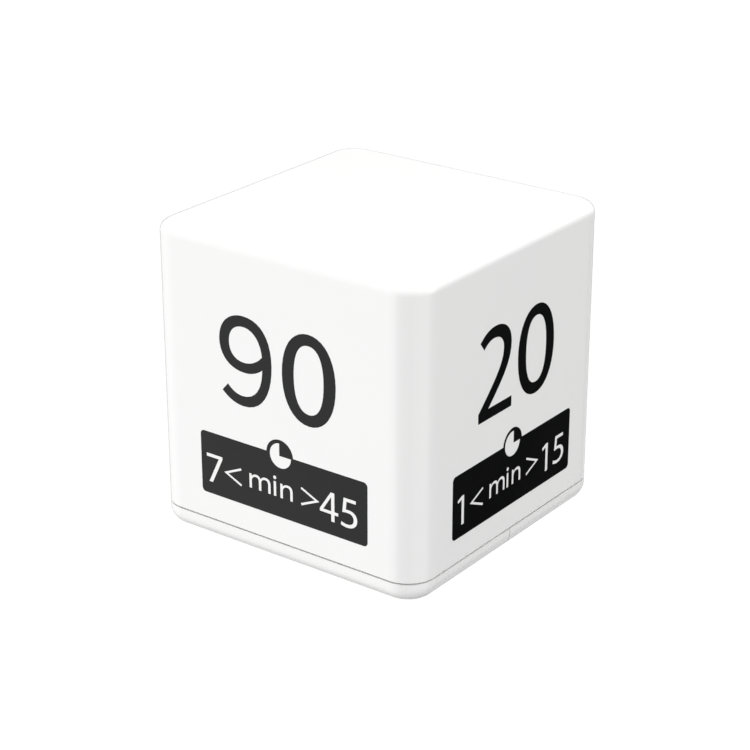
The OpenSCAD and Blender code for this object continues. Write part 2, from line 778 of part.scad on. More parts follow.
function spring_path(rise) = [
    for (i = [0 : 20 * spring_turns])
        let(t = i / (20 * spring_turns), r = spring_r[0] + (spring_r[1] - spring_r[0]) * t, a = 18 * i)
        [rise * t, r * cos(a), r * sin(a)]
];

// Conical springs on the two negative ends
module contact_springs() color("silver") {
    wire_r = spring_wire / 2;
    rise = spring_l - spring_wire - 0.04;
    for (n = [0, 1]) mirror([n, 0, 0]) translate([-plate_x + wire_r + 0.02, cell_y[n], cell_z])
        tube(spring_path(rise), wire_r, 6, [1, 0, 0]);
}

module battery_lead_red() color("red") tube(spline([
    [plate_x - 0.6, cell_y[0], battery_lead_z], [plate_x - 1.6, cell_y[0] - 1, battery_lead_z + 0.3],
    [21.4, 2.6, battery_lead_z + 0.3], [20.9, -0.3, bay_top + 0.9], [20.7, -2, board_top + 2.2],
    [20.6, -2.5, solder_z]
]), lead_r, 8, [1, 0, 0.2]);

module battery_lead_black() color([0.1, 0.1, 0.1]) tube(spline([
    [plate_x - 0.6, cell_y[1], battery_lead_z], [plate_x - 2, cell_y[1] - 2, battery_lead_z + 0.2],
    [20, 9, battery_lead_z - 0.3], [18.4, 3, battery_lead_z - 0.2], [18, -0.3, bay_top + 0.9],
    [17.8, -2, board_top + 2.2], [17.8, -2.5, solder_z]
]), lead_r, 8, [1, 0, 0.2]);

module sounder_lead_1() color("red") tube(spline([
    [1.5, sounder_y - 3, sounder_z + sounder_t + 0.85], [1.7, sounder_y - 6, sounder_top + 0.6],
    [2.2, 2.4, sounder_top + 0.9], [2.6, -0.6, bay_top + 1.6], [2.8, -2.1, board_top + 2.4],
    [2.8, -2.5, solder_z]
]), lead_r, 8, [1, 0, 0.2]);

module sounder_lead_2() color([0.1, 0.1, 0.1]) tube(spline([
    [-1.6, sounder_y - 8.4, sounder_z + sounder_t + 0.6], [-1.9, sounder_y - 9.8, sounder_top + 0.4],
    [-2.2, 0.2, sounder_top - 0.1], [-2.6, -1.6, bay_top + 0.4], [-2.8, -2.4, board_top + 2],
    [-2.8, -2.5, solder_z]
]), lead_r, 8, [1, 0, 0.2]);

body_shell();
base_cover();
battery_door();
cover_screws();
display_window();
display_front_film();
display_front_glass();
display_rear_glass();
display_rear_film();
display_frame();
connector_strip();
main_board();
board_screws();
controller_drop();
crystal_can();
capacitor();
driver_coil();
chip_parts();
switch_frame();
switch_base();
switch_pins();
switch_slider();
power_knob();
tilt_can(0);  // tilt_can_1
tilt_can(1);  // tilt_can_2
tilt_plug(0);  // tilt_plug_1
tilt_plug(1);  // tilt_plug_2
tilt_pins(0);  // tilt_pins_1
tilt_pins(1);  // tilt_pins_2
tilt_ball(0);  // tilt_ball_1
tilt_ball(1);  // tilt_ball_2
sounder_plate();
sounder_ceramic();
sounder_ring();
battery_cell(0);  // battery_cell_1
battery_cell(1);  // battery_cell_2
contact_positive();
contact_negative();
contact_bridge();
contact_springs();
battery_lead_red();
battery_lead_black();
sounder_lead_1();
sounder_lead_2();
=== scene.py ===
import math

import bmesh
import bpy
from bpy.props import FloatProperty, IntProperty, PointerProperty, StringProperty
from mathutils import Matrix, Vector


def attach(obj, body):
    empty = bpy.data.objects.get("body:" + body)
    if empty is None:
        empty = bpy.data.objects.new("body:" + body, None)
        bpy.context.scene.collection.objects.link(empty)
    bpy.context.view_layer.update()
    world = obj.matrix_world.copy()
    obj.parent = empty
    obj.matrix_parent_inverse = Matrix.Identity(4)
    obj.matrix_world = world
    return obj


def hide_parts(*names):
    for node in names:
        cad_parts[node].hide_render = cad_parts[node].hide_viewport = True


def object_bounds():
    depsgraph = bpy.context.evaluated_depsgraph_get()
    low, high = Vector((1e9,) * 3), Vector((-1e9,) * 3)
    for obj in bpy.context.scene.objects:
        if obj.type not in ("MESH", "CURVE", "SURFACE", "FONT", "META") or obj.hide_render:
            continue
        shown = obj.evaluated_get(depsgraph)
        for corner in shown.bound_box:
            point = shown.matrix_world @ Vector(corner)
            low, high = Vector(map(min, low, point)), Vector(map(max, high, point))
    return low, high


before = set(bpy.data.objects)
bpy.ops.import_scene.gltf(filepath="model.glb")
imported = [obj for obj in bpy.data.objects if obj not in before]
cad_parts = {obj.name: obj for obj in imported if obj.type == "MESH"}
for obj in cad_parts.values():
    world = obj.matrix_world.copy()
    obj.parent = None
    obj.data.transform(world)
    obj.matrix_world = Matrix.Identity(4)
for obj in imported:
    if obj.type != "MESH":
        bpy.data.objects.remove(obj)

bl_info = {
    "name": "Cube Timer",
    "version": (1, 0, 0),
    "blender": (4, 5, 0),
    "location": "View3D > Sidebar > Timer",
    "description": "Prints, finishes and small parts of a cube countdown timer",
    "category": "Object",
}

CAD_LOW, CAD_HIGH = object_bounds()
MM = 0.001
UP = Vector((0, 0, 1))

# Faces of the case: the axes of a print's right, up and outward directions
FRONT = Matrix(((1, 0, 0), (0, 0, -1), (0, 1, 0)))
RIGHT = Matrix(((0, 0, 1), (1, 0, 0), (0, 1, 0)))
REAR = Matrix(((-1, 0, 0), (0, 0, 1), (0, 1, 0)))
LEFT = Matrix(((0, 0, -1), (-1, 0, 0), (0, 1, 0)))
UNDER = Matrix(((1, 0, 0), (0, -1, 0), (0, 0, -1)))
ABOVE = Matrix.Identity(3)

# Places that several pieces share, in millimetres
BOARD_TOP = 10.2
BOARD_SCREWS = ((-24.8, -3.6), (24.8, -3.6), (-24.8, -19), (24.8, -19))
CASE_SCREW_INSET = 26.15                                # of the case screws from the middle, along X and Y
CELL_HEIGHT = 7.35                                      # of the cells' axes
CELLS = ((6.1, 1), (16.9, -1))                          # Y of each axis, and which way along X its plus end points
CHIP_LEFTS, CHIP_ROWS = tuple(-9.5 + 2.4 * i for i in range(5)), (-4.15, -13.6)
DIODE_LEFT, DIODE_ROWS = -13.6, (-8.5, -5.5)
CRYSTAL, CAPACITOR, COIL = (6.5, -8.5, 11.25), (-18.5, -9.5, BOARD_TOP), (18.5, -14.5, BOARD_TOP)

# Outlines of the printed signs at the size of the large numbers, in millimetres above their foot line
SIGNS = {
    "0": """M -0.18 9 C -0.18 14.6 2.4 18.25 6.15 18.25 C 9.9 18.25 12.48 14.6 12.48 9 C 12.48 3.4 9.9 -0.25 6.15 -0.25
        C 2.4 -0.25 -0.18 3.4 -0.18 9 Z M 2.62 9.1 C 2.62 4.6 3.88 2.12 6.15 2.12 C 8.42 2.12 9.67 4.6 9.67 9.1
        C 9.67 13.6 8.42 15.98 6.15 15.98 C 3.88 15.98 2.62 13.6 2.62 9.1 Z""",
    "1": "M 3.9 0 L 6.4 0 L 6.4 18.2 L 4.3 18.2 L 0 16.4 L 0.5 14.5 L 3.9 15.8 Z",
    "2": """M 0 0 L 11.2 0 L 11.2 2.15 L 3.3 2.15 C 8.2 6.8 10.8 9.6 10.8 13.4 C 10.8 16.4 8.6 18.3 5.3 18.3
        C 3.3 18.3 1.7 17.5 0.3 16.2 L 1.6 14.5 C 2.6 15.4 3.5 15.95 4.9 15.95 C 7 15.95 8.2 14.8 8.2 13.1
        C 8.2 10.2 6.3 8 0 2 Z""",
    "3": """M 0.4 1.3 C 1.8 0.4 3.6 -0.1 5.2 -0.1 C 9.2 -0.1 11.6 2.1 11.6 5.1 C 11.6 7.4 10.1 9 7.9 9.5
        C 9.9 10.2 11 11.8 11 13.7 C 11 16.5 8.9 18.3 5.6 18.3 C 3.7 18.3 2 17.8 0.8 16.9 L 1.5 15
        C 2.6 15.7 3.9 16.15 5.2 16.15 C 7.3 16.15 8.4 15.1 8.4 13.5 C 8.4 11.5 6.6 10.4 4.4 10.4
        L 3.2 10.4 L 3.2 8.4 L 4.4 8.4 C 7.2 8.4 8.95 7.2 8.95 5.1 C 8.95 3.2 7.5 2.05 5.1 2.05
        C 3.6 2.05 2.3 2.5 1.1 3.25 Z""",
    "4": """M 10.5 0 L 10.5 4.5 L 13.2 4.5 L 13.2 6.5 L 10.5 6.5 L 10.5 18.2 L 7.9 18.2 L 0 6.3 L 0 4.5
        L 8.1 4.5 L 8.1 0 Z M 8.1 6.5 L 8.1 15.2 L 2.5 6.5 Z""",
    "5": """M 0.2 0.9 C 1.6 0.2 3.1 -0.1 4.7 -0.1 C 8.9 -0.1 11.9 2.2 11.9 5.8 C 11.9 9.2 9.4 11.2 5.9 11.2
        C 5.1 11.2 4.5 11.15 3.9 11.05 L 4.4 16.05 L 10.9 16.05 L 10.9 18.2 L 2.3 18.2 L 1.3 8.8
        C 2.7 9.1 3.9 9.2 5.3 9.2 C 7.9 9.2 9.3 7.9 9.3 5.6 C 9.3 3.3 7.6 2 4.7 2 C 3.2 2 1.9 2.35 0.6 3.05 Z""",
    "7": "M 0 18.2 L 12 18.2 L 12 16.5 L 4.1 0 L 1.4 0 L 9.1 16.05 L 0 16.05 Z",
    "9": """M 0.45 2.12 C 1.9 0.82 3.6 -0.08 5.7 -0.08 C 10.35 -0.08 12.7 4.25 12.7 9.8
        C 12.7 15.3 10.2 18.4 5.95 18.4 C 2.5 18.4 0 16.1 0 12.6 C 0 9.15 2.4 6.92 6.1 6.92
        C 7.9 6.92 9.35 7.6 10.42 8.5 C 10.35 4.45 8.45 2 5.5 2 C 4 2 2.95 2.6 1.85 3.7 Z
        M 10.42 11.1 C 9.25 9.85 7.8 8.97 6 8.97 C 3.75 8.97 2.38 10.35 2.38 12.6
        C 2.38 14.75 3.75 16.22 5.95 16.22 C 8.25 16.22 10.12 14.35 10.42 11.1 Z""",
    "m": """M 0 0 L 0 9.2 L 1.7 9.2 L 1.85 7.8 C 2.6 8.8 3.8 9.4 5.1 9.4 C 6.8 9.4 7.9 8.7 8.4 7.4
        C 9.2 8.7 10.5 9.4 12 9.4 C 14.6 9.4 15.8 8 15.8 5.4 L 15.8 0 L 13.95 0 L 13.95 5.2
        C 13.95 7 13.2 7.8 11.6 7.8 C 10 7.8 8.85 6.7 8.85 4.9 L 8.85 0 L 7 0 L 7 5.2
        C 7 7 6.3 7.8 4.9 7.8 C 3.1 7.8 1.85 6.6 1.85 4.7 L 1.85 0 Z""",
    "i": """M 0.25 0 L 2.1 0 L 2.1 9.4 L 0.25 9.4 Z M 0.02 11.8 C 0.02 11.16 0.54 10.65 1.17 10.65
        C 1.8 10.65 2.32 11.16 2.32 11.8 C 2.32 12.44 1.8 12.95 1.17 12.95 C 0.54 12.95 0.02 12.44 0.02 11.8 Z""",
    "n": """M 0 0 L 0 9.2 L 1.7 9.2 L 1.85 7.8 C 2.7 8.8 4 9.4 5.5 9.4 C 8 9.4 9.1 7.9 9.1 5.3 L 9.1 0
        L 7.25 0 L 7.25 5.1 C 7.25 7 6.6 7.8 5 7.8 C 3.1 7.8 1.85 6.6 1.85 4.7 L 1.85 0 Z""",
    "O": """M 0 9.1 C 0 14.9 2.9 18.5 7.2 18.5 C 11.5 18.5 14.4 14.9 14.4 9.1 C 14.4 3.3 11.5 -0.3 7.2 -0.3
        C 2.9 -0.3 0 3.3 0 9.1 Z M 2.8 9.1 C 2.8 4.7 4.4 2 7.2 2 C 10 2 11.6 4.7 11.6 9.1
        C 11.6 13.5 10 16.2 7.2 16.2 C 4.4 16.2 2.8 13.5 2.8 9.1 Z""",
    "N": "M 0 0 L 0 18.2 L 3 18.2 L 10.4 5.6 L 10.4 18.2 L 13 18.2 L 13 0 L 10.2 0 L 2.6 12.9 L 2.6 0 Z",
    "F": "M 0 0 L 0 18.2 L 9.6 18.2 L 9.6 15.9 L 2.7 15.9 L 2.7 10.4 L 8.8 10.4 L 8.8 8.1 L 2.7 8.1 L 2.7 0 Z",
    "+": "M -1 -0.25 L -0.25 -0.25 L -0.25 -1 L 0.25 -1 L 0.25 -0.25 L 1 -0.25 L 1 0.25 L 0.25 0.25 L 0.25 1 "
         "L -0.25 1 L -0.25 0.25 L -1 0.25 Z",
    "-": "M -1 -0.25 L 1 -0.25 L 1 0.25 L -1 0.25 Z",
    "<": "M -0.6 -0.1 L 12.3 5.75 L 12.9 4.5 L 2.7 -0.1 L 12.9 -4.65 L 12.3 -5.95 Z",
    ">": "M 0.6 -0.1 L -12.3 5.75 L -12.9 4.5 L -2.7 -0.1 L -12.9 -4.65 L -12.3 -5.95 Z",
}

# What the rear and left faces share: the signs between their small numbers, and their panel's edges and clock
MIN_SIGNS = (("<", -13.95, 3.2), ("m", -7.7, 1.7), ("i", -1.75, 1.7), ("n", 0.05, 1.68), (">", 9.3, 3.5))
PANEL_EDGES, CLOCK = (-19.9, -0.1, 20.85, 0.1), ((0.02, -0.17), (0.08, -0.23), (0.1, -0.23))

# Each printed face, in millimetres: its turn; its large and its small signs as (sign, place along the face, height over
# their foot line); the edges of its panel as left, low, right and high, the low and high ones over the settings'; and
# the middles of the clock's ring, of its disc and of its hands, over the middle of the panel's upper edge
FACES = {
    "front": (
        FRONT, (("9", -14.27, 0.07), ("0", 1.08, 0.25)),
        (("7", -18.44, 0.23), ("<", -13.91, 3.36), ("m", -7.7, 1.87), ("i", -1.75, 1.87), ("n", -0.04, 1.83),
         (">", 9.24, 3.76), ("4", 9.52, 0.51), ("5", 14.42, 0.37)),
        (-19.81, 0.08, 20.78, 0.29), ((-0.03, -0.15), (0.14, -0.22), (-0.11, -0.25))),
    "right": (
        RIGHT, (("2", -11.96, -0.2), ("0", 1.38, -0.2)),
        (("1", -18.31, -0.31), ("<", -14.05, 3.0), ("m", -7.64, 1.44), ("i", -1.79, 1.38), ("n", 0.11, 1.43),
         (">", 9.38, 3.33), ("1", 10.86, -0.4), ("5", 14.9, -0.15)),
        (-19.98, -0.35, 20.88, -0.11), ((0.1, -0.21), (0.05, -0.27), (0.43, -0.24))),
    "rear": (
        REAR, (("6", -14.4, 0.05), ("0", 1.15, 0.05)),
        (("5", -18.6, 0.0), *MIN_SIGNS, ("1", 10.2, 0.0), ("0", 14.4, 0.0)), PANEL_EDGES, CLOCK),
    "left": (
        LEFT, (("3", -13.6, 0.05), ("0", 1.15, 0.05)),
        (("3", -18.5, 0.0), *MIN_SIGNS, ("2", 9.9, 0.0), ("5", 14.4, 0.0)), PANEL_EDGES, CLOCK),
}

# Cards in the light tent: direction, strength, and the cosines where a card starts to show and is full
CARDS = (
    ((0.0, 0.0, -1.0), 0.05, 0.50, 0.95),              # shade under the timer
    ((0.55, 0.737, -0.393), 0.0, 0.82, 0.92),         # black card behind on the right
    ((-0.586, 0.785, -0.2), 0.03, 0.80, 0.92),        # black card behind on the left, which draws the rear edges
    ((-0.56, -0.729, -0.393), 1.87, 0.685, 0.95),     # bright card in front on the left
    ((0.882, 0.411, 0.229), 2.5, 0.907, 0.975),       # small bright card on the right
    ((0.388, -0.902, -0.189), 0.57, 0.777, 0.905),    # grey card in front, which shades the upright corner
)


def linear(code):
    """Linear red, green, blue and alpha of an sRGB hex value."""
    parts = [int(code[i:i + 2], 16) / 255 for i in (1, 3, 5)]
    return (*[c / 12.92 if c <= 0.04045 else ((c + 0.055) / 1.055) ** 2.4 for c in parts], 1.0)


# ---------------------------------------------------------------- finishes

def add(tree, kind, inputs=None, **settings):
    """Adds one node, sets its settings, and sets or links its inputs."""
    made = tree.nodes.new(kind)
    for name, value in settings.items():
        setattr(made, name, value)
    for name, value in (inputs or {}).items():
        if isinstance(value, bpy.types.NodeSocket):
            tree.links.new(value, made.inputs[name])
        else:
            made.inputs[name].default_value = value
    return made


def pattern(tree, kind, size_mm, stretch=(1, 1, 1), **inputs):
    """A pattern in object space whose features are size_mm apart."""
    place = add(tree, "ShaderNodeTexCoord")
    scaled = add(tree, "ShaderNodeMapping", {"Vector": place.outputs["Object"], "Scale": stretch})
    made = add(tree, kind, {"Vector": scaled.outputs[0], "Scale": 1 / (size_mm * MM), **inputs})
    return made.outputs.get("Fac") or made.outputs["Distance"]


def layered(first, second, size_mm, rough, relief_mm=0.0, grain_mm=0.2, stretch=(1, 1, 1), spread=(0.35, 0.65),
            **sockets):
    """Builder of an opaque finish: two near colours and a roughness that wander over size_mm, and a relief of
    relief_mm with a grain of grain_mm. The spread is the part of the noise that the roughness follows. Other
    sockets are given by name, with _ for a space."""
    def build(tree):
        wander = pattern(tree, "ShaderNodeTexNoise", size_mm, stretch, Detail=3.0)
        inputs = {
            "Base Color": add(tree, "ShaderNodeMix", {
                "Factor": wander, 6: linear(first), 7: linear(second),
            }, data_type="RGBA").outputs[2],
            "Roughness": add(tree, "ShaderNodeMapRange", {
                "Value": wander, "From Min": spread[0], "From Max": spread[1], "To Min": rough[0], "To Max": rough[1],
            }).outputs[0],
        }
        if relief_mm:
            grain = pattern(tree, "ShaderNodeTexNoise", grain_mm, stretch, Detail=2.0)
            inputs["Normal"] = add(tree, "ShaderNodeBump", {
                "Height": grain, "Distance": relief_mm * MM,
            }).outputs[0]
        for socket, value in sockets.items():
            inputs[socket.replace("_", " ")] = value
        return add(tree, "ShaderNodeBsdfPrincipled", inputs)
    return build


def clear_sheet(colour, gloss, size_mm, stretch=(1, 1, 1), ior=1.49):
    """Builder of a clear finish: tinted passage under a gloss that grows towards grazing views."""
    def build(tree):
        wipe = pattern(tree, "ShaderNodeTexNoise", size_mm, stretch, Detail=3.0)
        rough = add(tree, "ShaderNodeMapRange", {"Value": wipe, "To Min": gloss[0], "To Max": gloss[1]})
        shine = add(tree, "ShaderNodeBsdfPrincipled", {
            "Base Color": linear("#F2F4F2"), "Roughness": rough.outputs[0], "IOR": ior,
        })
        passage = add(tree, "ShaderNodeBsdfTransparent", {"Color": linear(colour)})
        edge_on = add(tree, "ShaderNodeLayerWeight", {"Blend": 0.1})
        share = add(tree, "ShaderNodeMapRange", {"Value": edge_on.outputs["Facing"], "To Min": 0.04, "To Max": 1.0})
        return add(tree, "ShaderNodeMixShader", {0: share.outputs[0], 1: passage.outputs[0], 2: shine.outputs[0]})
    return build


def gloss_white_abs(tree):
    """Injection moulded ABS from a polished tool: a clean white with the faint waviness of moulded gloss."""
    settings = bpy.context.scene.timer_case
    flow = pattern(tree, "ShaderNodeTexNoise", 22, Detail=2.0)
    waves = pattern(tree, "ShaderNodeTexNoise", 3.5, Detail=1.0)
    grain = pattern(tree, "ShaderNodeTexNoise", 0.4, Detail=2.0)
    colour = add(tree, "ShaderNodeMix", {
        "Factor": flow, 6: linear(settings.plastic), 7: linear(settings.plastic_shade),
    }, data_type="RGBA")
    rough = add(tree, "ShaderNodeMapRange", {
        "Value": waves, "To Min": settings.gloss_roughness - 0.03, "To Max": settings.gloss_roughness + 0.05,
    })
    wavy = add(tree, "ShaderNodeBump", {"Height": waves, "Distance": 0.004 * MM})
    fine = add(tree, "ShaderNodeBump", {
        "Height": grain, "Distance": 0.0006 * MM, "Normal": wavy.outputs[0],
    })
    return add(tree, "ShaderNodeBsdfPrincipled", {
        "Base Color": colour.outputs[2], "Roughness": rough.outputs[0], "Normal": fine.outputs[0], "IOR": 1.53,
    })


def pad_printed_ink(tree):
    """Pad printed ink on plastic: a dense black film, less glossy than the case, faintly uneven in thickness."""
    settings = bpy.context.scene.timer_prints
    return layered(settings.ink, settings.ink_thin, 6, (0.28, 0.36), 0.0008, 0.25, spread=(0, 1), IOR=1.48,
                   Specular_IOR_Level=0.17)(tree)


def backlit_opal_acrylic(tree):
    """Opal acrylic of a light table: an even white glow that drowns the shadows, with a trace of surface gloss."""
    haze = pattern(tree, "ShaderNodeTexNoise", 60, Detail=3.0)
    colour = add(tree, "ShaderNodeMix", {
        "Factor": haze, 6: linear("#262626"), 7: linear("#222222"),
    }, data_type="RGBA")
    return add(tree, "ShaderNodeBsdfPrincipled", {
        "Base Color": colour.outputs[2], "Roughness": 0.9, "Specular IOR Level": 0.1,
        "Emission Color": (1, 1, 1, 1), "Emission Strength": 1.0,
    })


def solder_masked_laminate(tree):
    """Glass fibre board under a green mask: glossy, with the faint grid of the weave every 0.6 mm, and bare tan
    laminate at its cut edges."""
    weave = pattern(tree, "ShaderNodeTexVoronoi", 0.6)
    mottle = pattern(tree, "ShaderNodeTexNoise", 5, Detail=3.0)
    surface = add(tree, "ShaderNodeNewGeometry")
    parts = add(tree, "ShaderNodeSeparateXYZ", {"Vector": surface.outputs["Normal"]})
    level = add(tree, "ShaderNodeMath", {0: parts.outputs["Z"]}, operation="ABSOLUTE")
    flat = add(tree, "ShaderNodeMapRange", {"Value": level.outputs[0], "From Min": 0.4, "From Max": 0.6})
    mask = add(tree, "ShaderNodeMix", {
        "Factor": mottle, 6: linear("#14502E"), 7: linear("#104526"),
    }, data_type="RGBA")
    cut_edge = add(tree, "ShaderNodeMix", {
        "Factor": weave, 6: linear("#A39A5E"), 7: linear("#8C8450"),
    }, data_type="RGBA")
    colour = add(tree, "ShaderNodeMix", {
        "Factor": flat.outputs[0], 6: cut_edge.outputs[2], 7: mask.outputs[2],
    }, data_type="RGBA")
    rough = add(tree, "ShaderNodeMapRange", {"Value": mottle, "To Min": 0.24, "To Max": 0.36})
    woven = add(tree, "ShaderNodeBump", {"Height": weave, "Distance": 0.002 * MM})
    return add(tree, "ShaderNodeBsdfPrincipled", {
        "Base Color": colour.outputs[2], "Roughness": rough.outputs[0], "Normal": woven.outputs[0],
    })


def layered_elastomer(tree):
    """Silicone strip of alternate carbon and plain layers: fine stripes along its length. The real ones are
    0.1 mm apart, and are drawn 0.8 mm apart so that they show."""
    wave_size = 2.5                                # a wave texture repeats every 0.31 of its size
    layers = pattern(tree, "ShaderNodeTexWave", wave_size)
    sharp = add(tree, "ShaderNodeMapRange", {"Value": layers, "From Min": 0.35, "From Max": 0.65})
    colour = add(tree, "ShaderNodeMix", {
        "Factor": sharp.outputs[0], 6: linear("#252527"), 7: linear("#B9B4A6"),
    }, data_type="RGBA")
    rough = add(tree, "ShaderNodeMapRange", {"Value": layers, "To Min": 0.5, "To Max": 0.7})
    ridged = add(tree, "ShaderNodeBump", {"Height": layers, "Distance": 0.004 * MM})
    return add(tree, "ShaderNodeBsdfPrincipled", {
        "Base Color": colour.outputs[2], "Roughness": rough.outputs[0], "Normal": ridged.outputs[0],
    })


FINISHES = {
    "gloss_white_abs": gloss_white_abs,
    "pad_printed_black_ink": pad_printed_ink,
    "backlit_opal_acrylic": backlit_opal_acrylic,
    "solder_masked_laminate": solder_masked_laminate,
    "layered_elastomer": layered_elastomer,
    # Moulded from a spark eroded tool: an even white that scatters its highlights
    "eroded_white_styrene": layered("#E2E2DF", "#DBDBD7", 9, (0.48, 0.58), 0.004, 0.14),
    # Moulded from an etched tool: black with the grey bloom of a fine grain
    "etched_black_abs": layered("#1C1C1D", "#141415", 5, (0.46, 0.6), 0.008, 0.16),
    # Rolled strip with bright nickel: warm silver with faint rolling lines
    "rolled_nickelled_steel": layered("#CBC8C0", "#BDB9B0", 4, (0.16, 0.28), 0.0015, 0.25, (1, 1, 0.06),
                                      Metallic=1.0),
    # Drawn and nickelled: silver, clean along its length
    "drawn_nickelled_steel": layered("#D0CEC8", "#C2BFB8", 5, (0.12, 0.22), 0.001, 0.4, (1, 1, 0.2), Metallic=1.0),
    # Zinc plate with blue passivation: cooler and duller than nickel, clouded
    "blue_zinc_plated_steel": layered("#B4B9C0", "#A2A7B0", 1.6, (0.26, 0.4), 0.002, 0.2, Metallic=1.0),
    # Ground and lapped: nearly a mirror
    "lapped_steel": layered("#CFD0D2", "#C6C7CA", 2, (0.05, 0.1), Metallic=1.0),
    # Drawn spring wire with a thin nickel coat: silver with draw marks
    "nickelled_spring_wire": layered("#BAB7AF", "#A5A299", 1.2, (0.2, 0.34), 0.002, 0.15, Metallic=1.0),
    # Hand soldered tin: bright, with soft ripples where it froze
    "frozen_tin_solder": layered("#C8CACD", "#B4B7BB", 0.9, (0.16, 0.34), 0.012, 0.5, Metallic=1.0),
    # Copper wire under clear enamel: deep red copper with a varnish gloss
    "enamelled_copper": layered("#A9552C", "#8C3F1E", 0.8, (0.18, 0.3), Metallic=1.0, Coat_Weight=0.6),
    # Pressed and sintered ferrite: dull dark grey with open grain
    "sintered_ferrite": layered("#2C2C2E", "#1F1F21", 0.5, (0.55, 0.72), 0.012, 0.12),
    # Poured and cured epoxy: black, wet gloss, uneven as it settled
    "poured_epoxy": layered("#0F0F10", "#18181A", 2.6, (0.14, 0.3), 0.05, 1.8),
    # Transfer moulded epoxy of a chip body: flat charcoal with the sparkle of its filler
    "moulded_chip_epoxy": layered("#222224", "#19191B", 0.7, (0.5, 0.64), 0.003, 0.07),
    # Fired multilayer ceramic: tan, slightly glazed
    "fired_tan_ceramic": layered("#A88A62", "#97784F", 0.5, (0.34, 0.48), 0.002, 0.1),
    # Glazed thick film resistor: black glass over white alumina
    "glazed_resistor": layered("#1B1C1F", "#131416", 0.4, (0.2, 0.3), 0.003, 0.2),
    # Heat shrunk sleeve: dark blue with a plastic gloss
    "shrunk_blue_sleeve": layered("#1C2C50", "#172443", 3.5, (0.24, 0.34), 0.004, 1.4),
    # Drawn aluminium: pale, with fine draw lines
    "drawn_aluminium": layered("#C9CBCD", "#B8BABD", 1.4, (0.26, 0.4), 0.001, 0.2, Metallic=1.0),
    # Punched phenolic paper: brown with short fibres
    "phenolic_paper": layered("#7C4B25", "#66391A", 0.7, (0.42, 0.58), 0.006, 0.2, (1, 0.2, 1)),
    # Moulded nylon: cream and a little waxy
    "moulded_nylon": layered("#DACDA6", "#CCBC8E", 2.5, (0.36, 0.46), 0.002, 0.3),
    # Gold flash over brass wire: yellow and bright
    "gold_flashed_brass": layered("#D9B45F", "#C59B45", 0.9, (0.16, 0.26), Metallic=1.0),
    # Rolled brass sheet: yellow with rolling lines
    "rolled_brass": layered("#CBA550", "#B98F3C", 3, (0.2, 0.34), 0.0015, 0.3, (1, 0.04, 1), Metallic=1.0),
    # Silver paste fired on ceramic: pale, satin, slightly grainy
    "fired_silver_paste": layered("#D2CFC5", "#C3BFB2", 1.6, (0.36, 0.5), 0.003, 0.12, Metallic=1.0),
    # Lacquered steel sleeve of a cell: graphite, smooth and glossy
    "lacquered_graphite_steel": layered("#26292D", "#1E2124", 6, (0.22, 0.3), 0.002, 2.0, Coat_Weight=0.4),
    # Silver lacquer printed on a sleeve: bright, with a soft sheen
    "printed_silver_lacquer": layered("#B9BCC0", "#ABAEB3", 2, (0.3, 0.4), Metallic=0.8),
    # Punched fibre washer: dull grey
    "pressed_fibre": layered("#85888B", "#76797C", 0.6, (0.6, 0.75), 0.006, 0.15),
    # Extruded vinyl insulation: saturated, with a soft gloss
    "extruded_red_vinyl": layered("#B4211D", "#A01A17", 3, (0.32, 0.44), 0.002, 0.5),
    "extruded_black_vinyl": layered("#19191A", "#111112", 3, (0.32, 0.44), 0.002, 0.5),
    # Screen printed legend: opaque chalky white
    "screened_white_ink": layered("#E4E4DC", "#D6D6CE", 0.8, (0.5, 0.66), 0.003, 0.1),
    # Copper under the green mask: the board's green, lighter where the metal shines through
    "masked_copper": layered("#1F6E40", "#195F36", 0.8, (0.26, 0.38), 0.002, 0.3),
    # Tinned copper pad: flat and silvery
    "tinned_copper": layered("#C4C6C8", "#B3B6B9", 0.6, (0.24, 0.36), 0.003, 0.3, Metallic=1.0),
    # Reflecting film behind the display: silver with a satin grain
    "satin_reflector_film": layered("#C9CCC4", "#BDC0B8", 1.5, (0.3, 0.42), 0.003, 0.1, Metallic=0.6),
    # Stretched polariser backed by glass and reflector: a grey green satin face with faint draw lines
    "backed_polariser": layered("#B7BCA8", "#ADB29E", 1.2, (0.3, 0.42), 0.002, 0.3, (0.05, 1, 1)),
    # Driven liquid crystal: blue black
    "driven_liquid_crystal": layered("#14171C", "#0F1216", 1, (0.4, 0.5)),
    # Resting liquid crystal: a shade darker than the film behind it, just visible at a slant
    "resting_liquid_crystal": layered("#A3A898", "#9CA191", 1, (0.4, 0.5)),
    # Injection moulded acrylic: water clear, polished, with hairline wipe marks
    "polished_clear_acrylic": clear_sheet("#F7F9F9", (0.03, 0.09), 1.5, (1, 0.08, 1)),
    # Cut display glass with its thin electrode layer: clear with a trace of green
    "electrode_glass": clear_sheet("#EDF1E9", (0.02, 0.05), 4, ior=1.52),
}

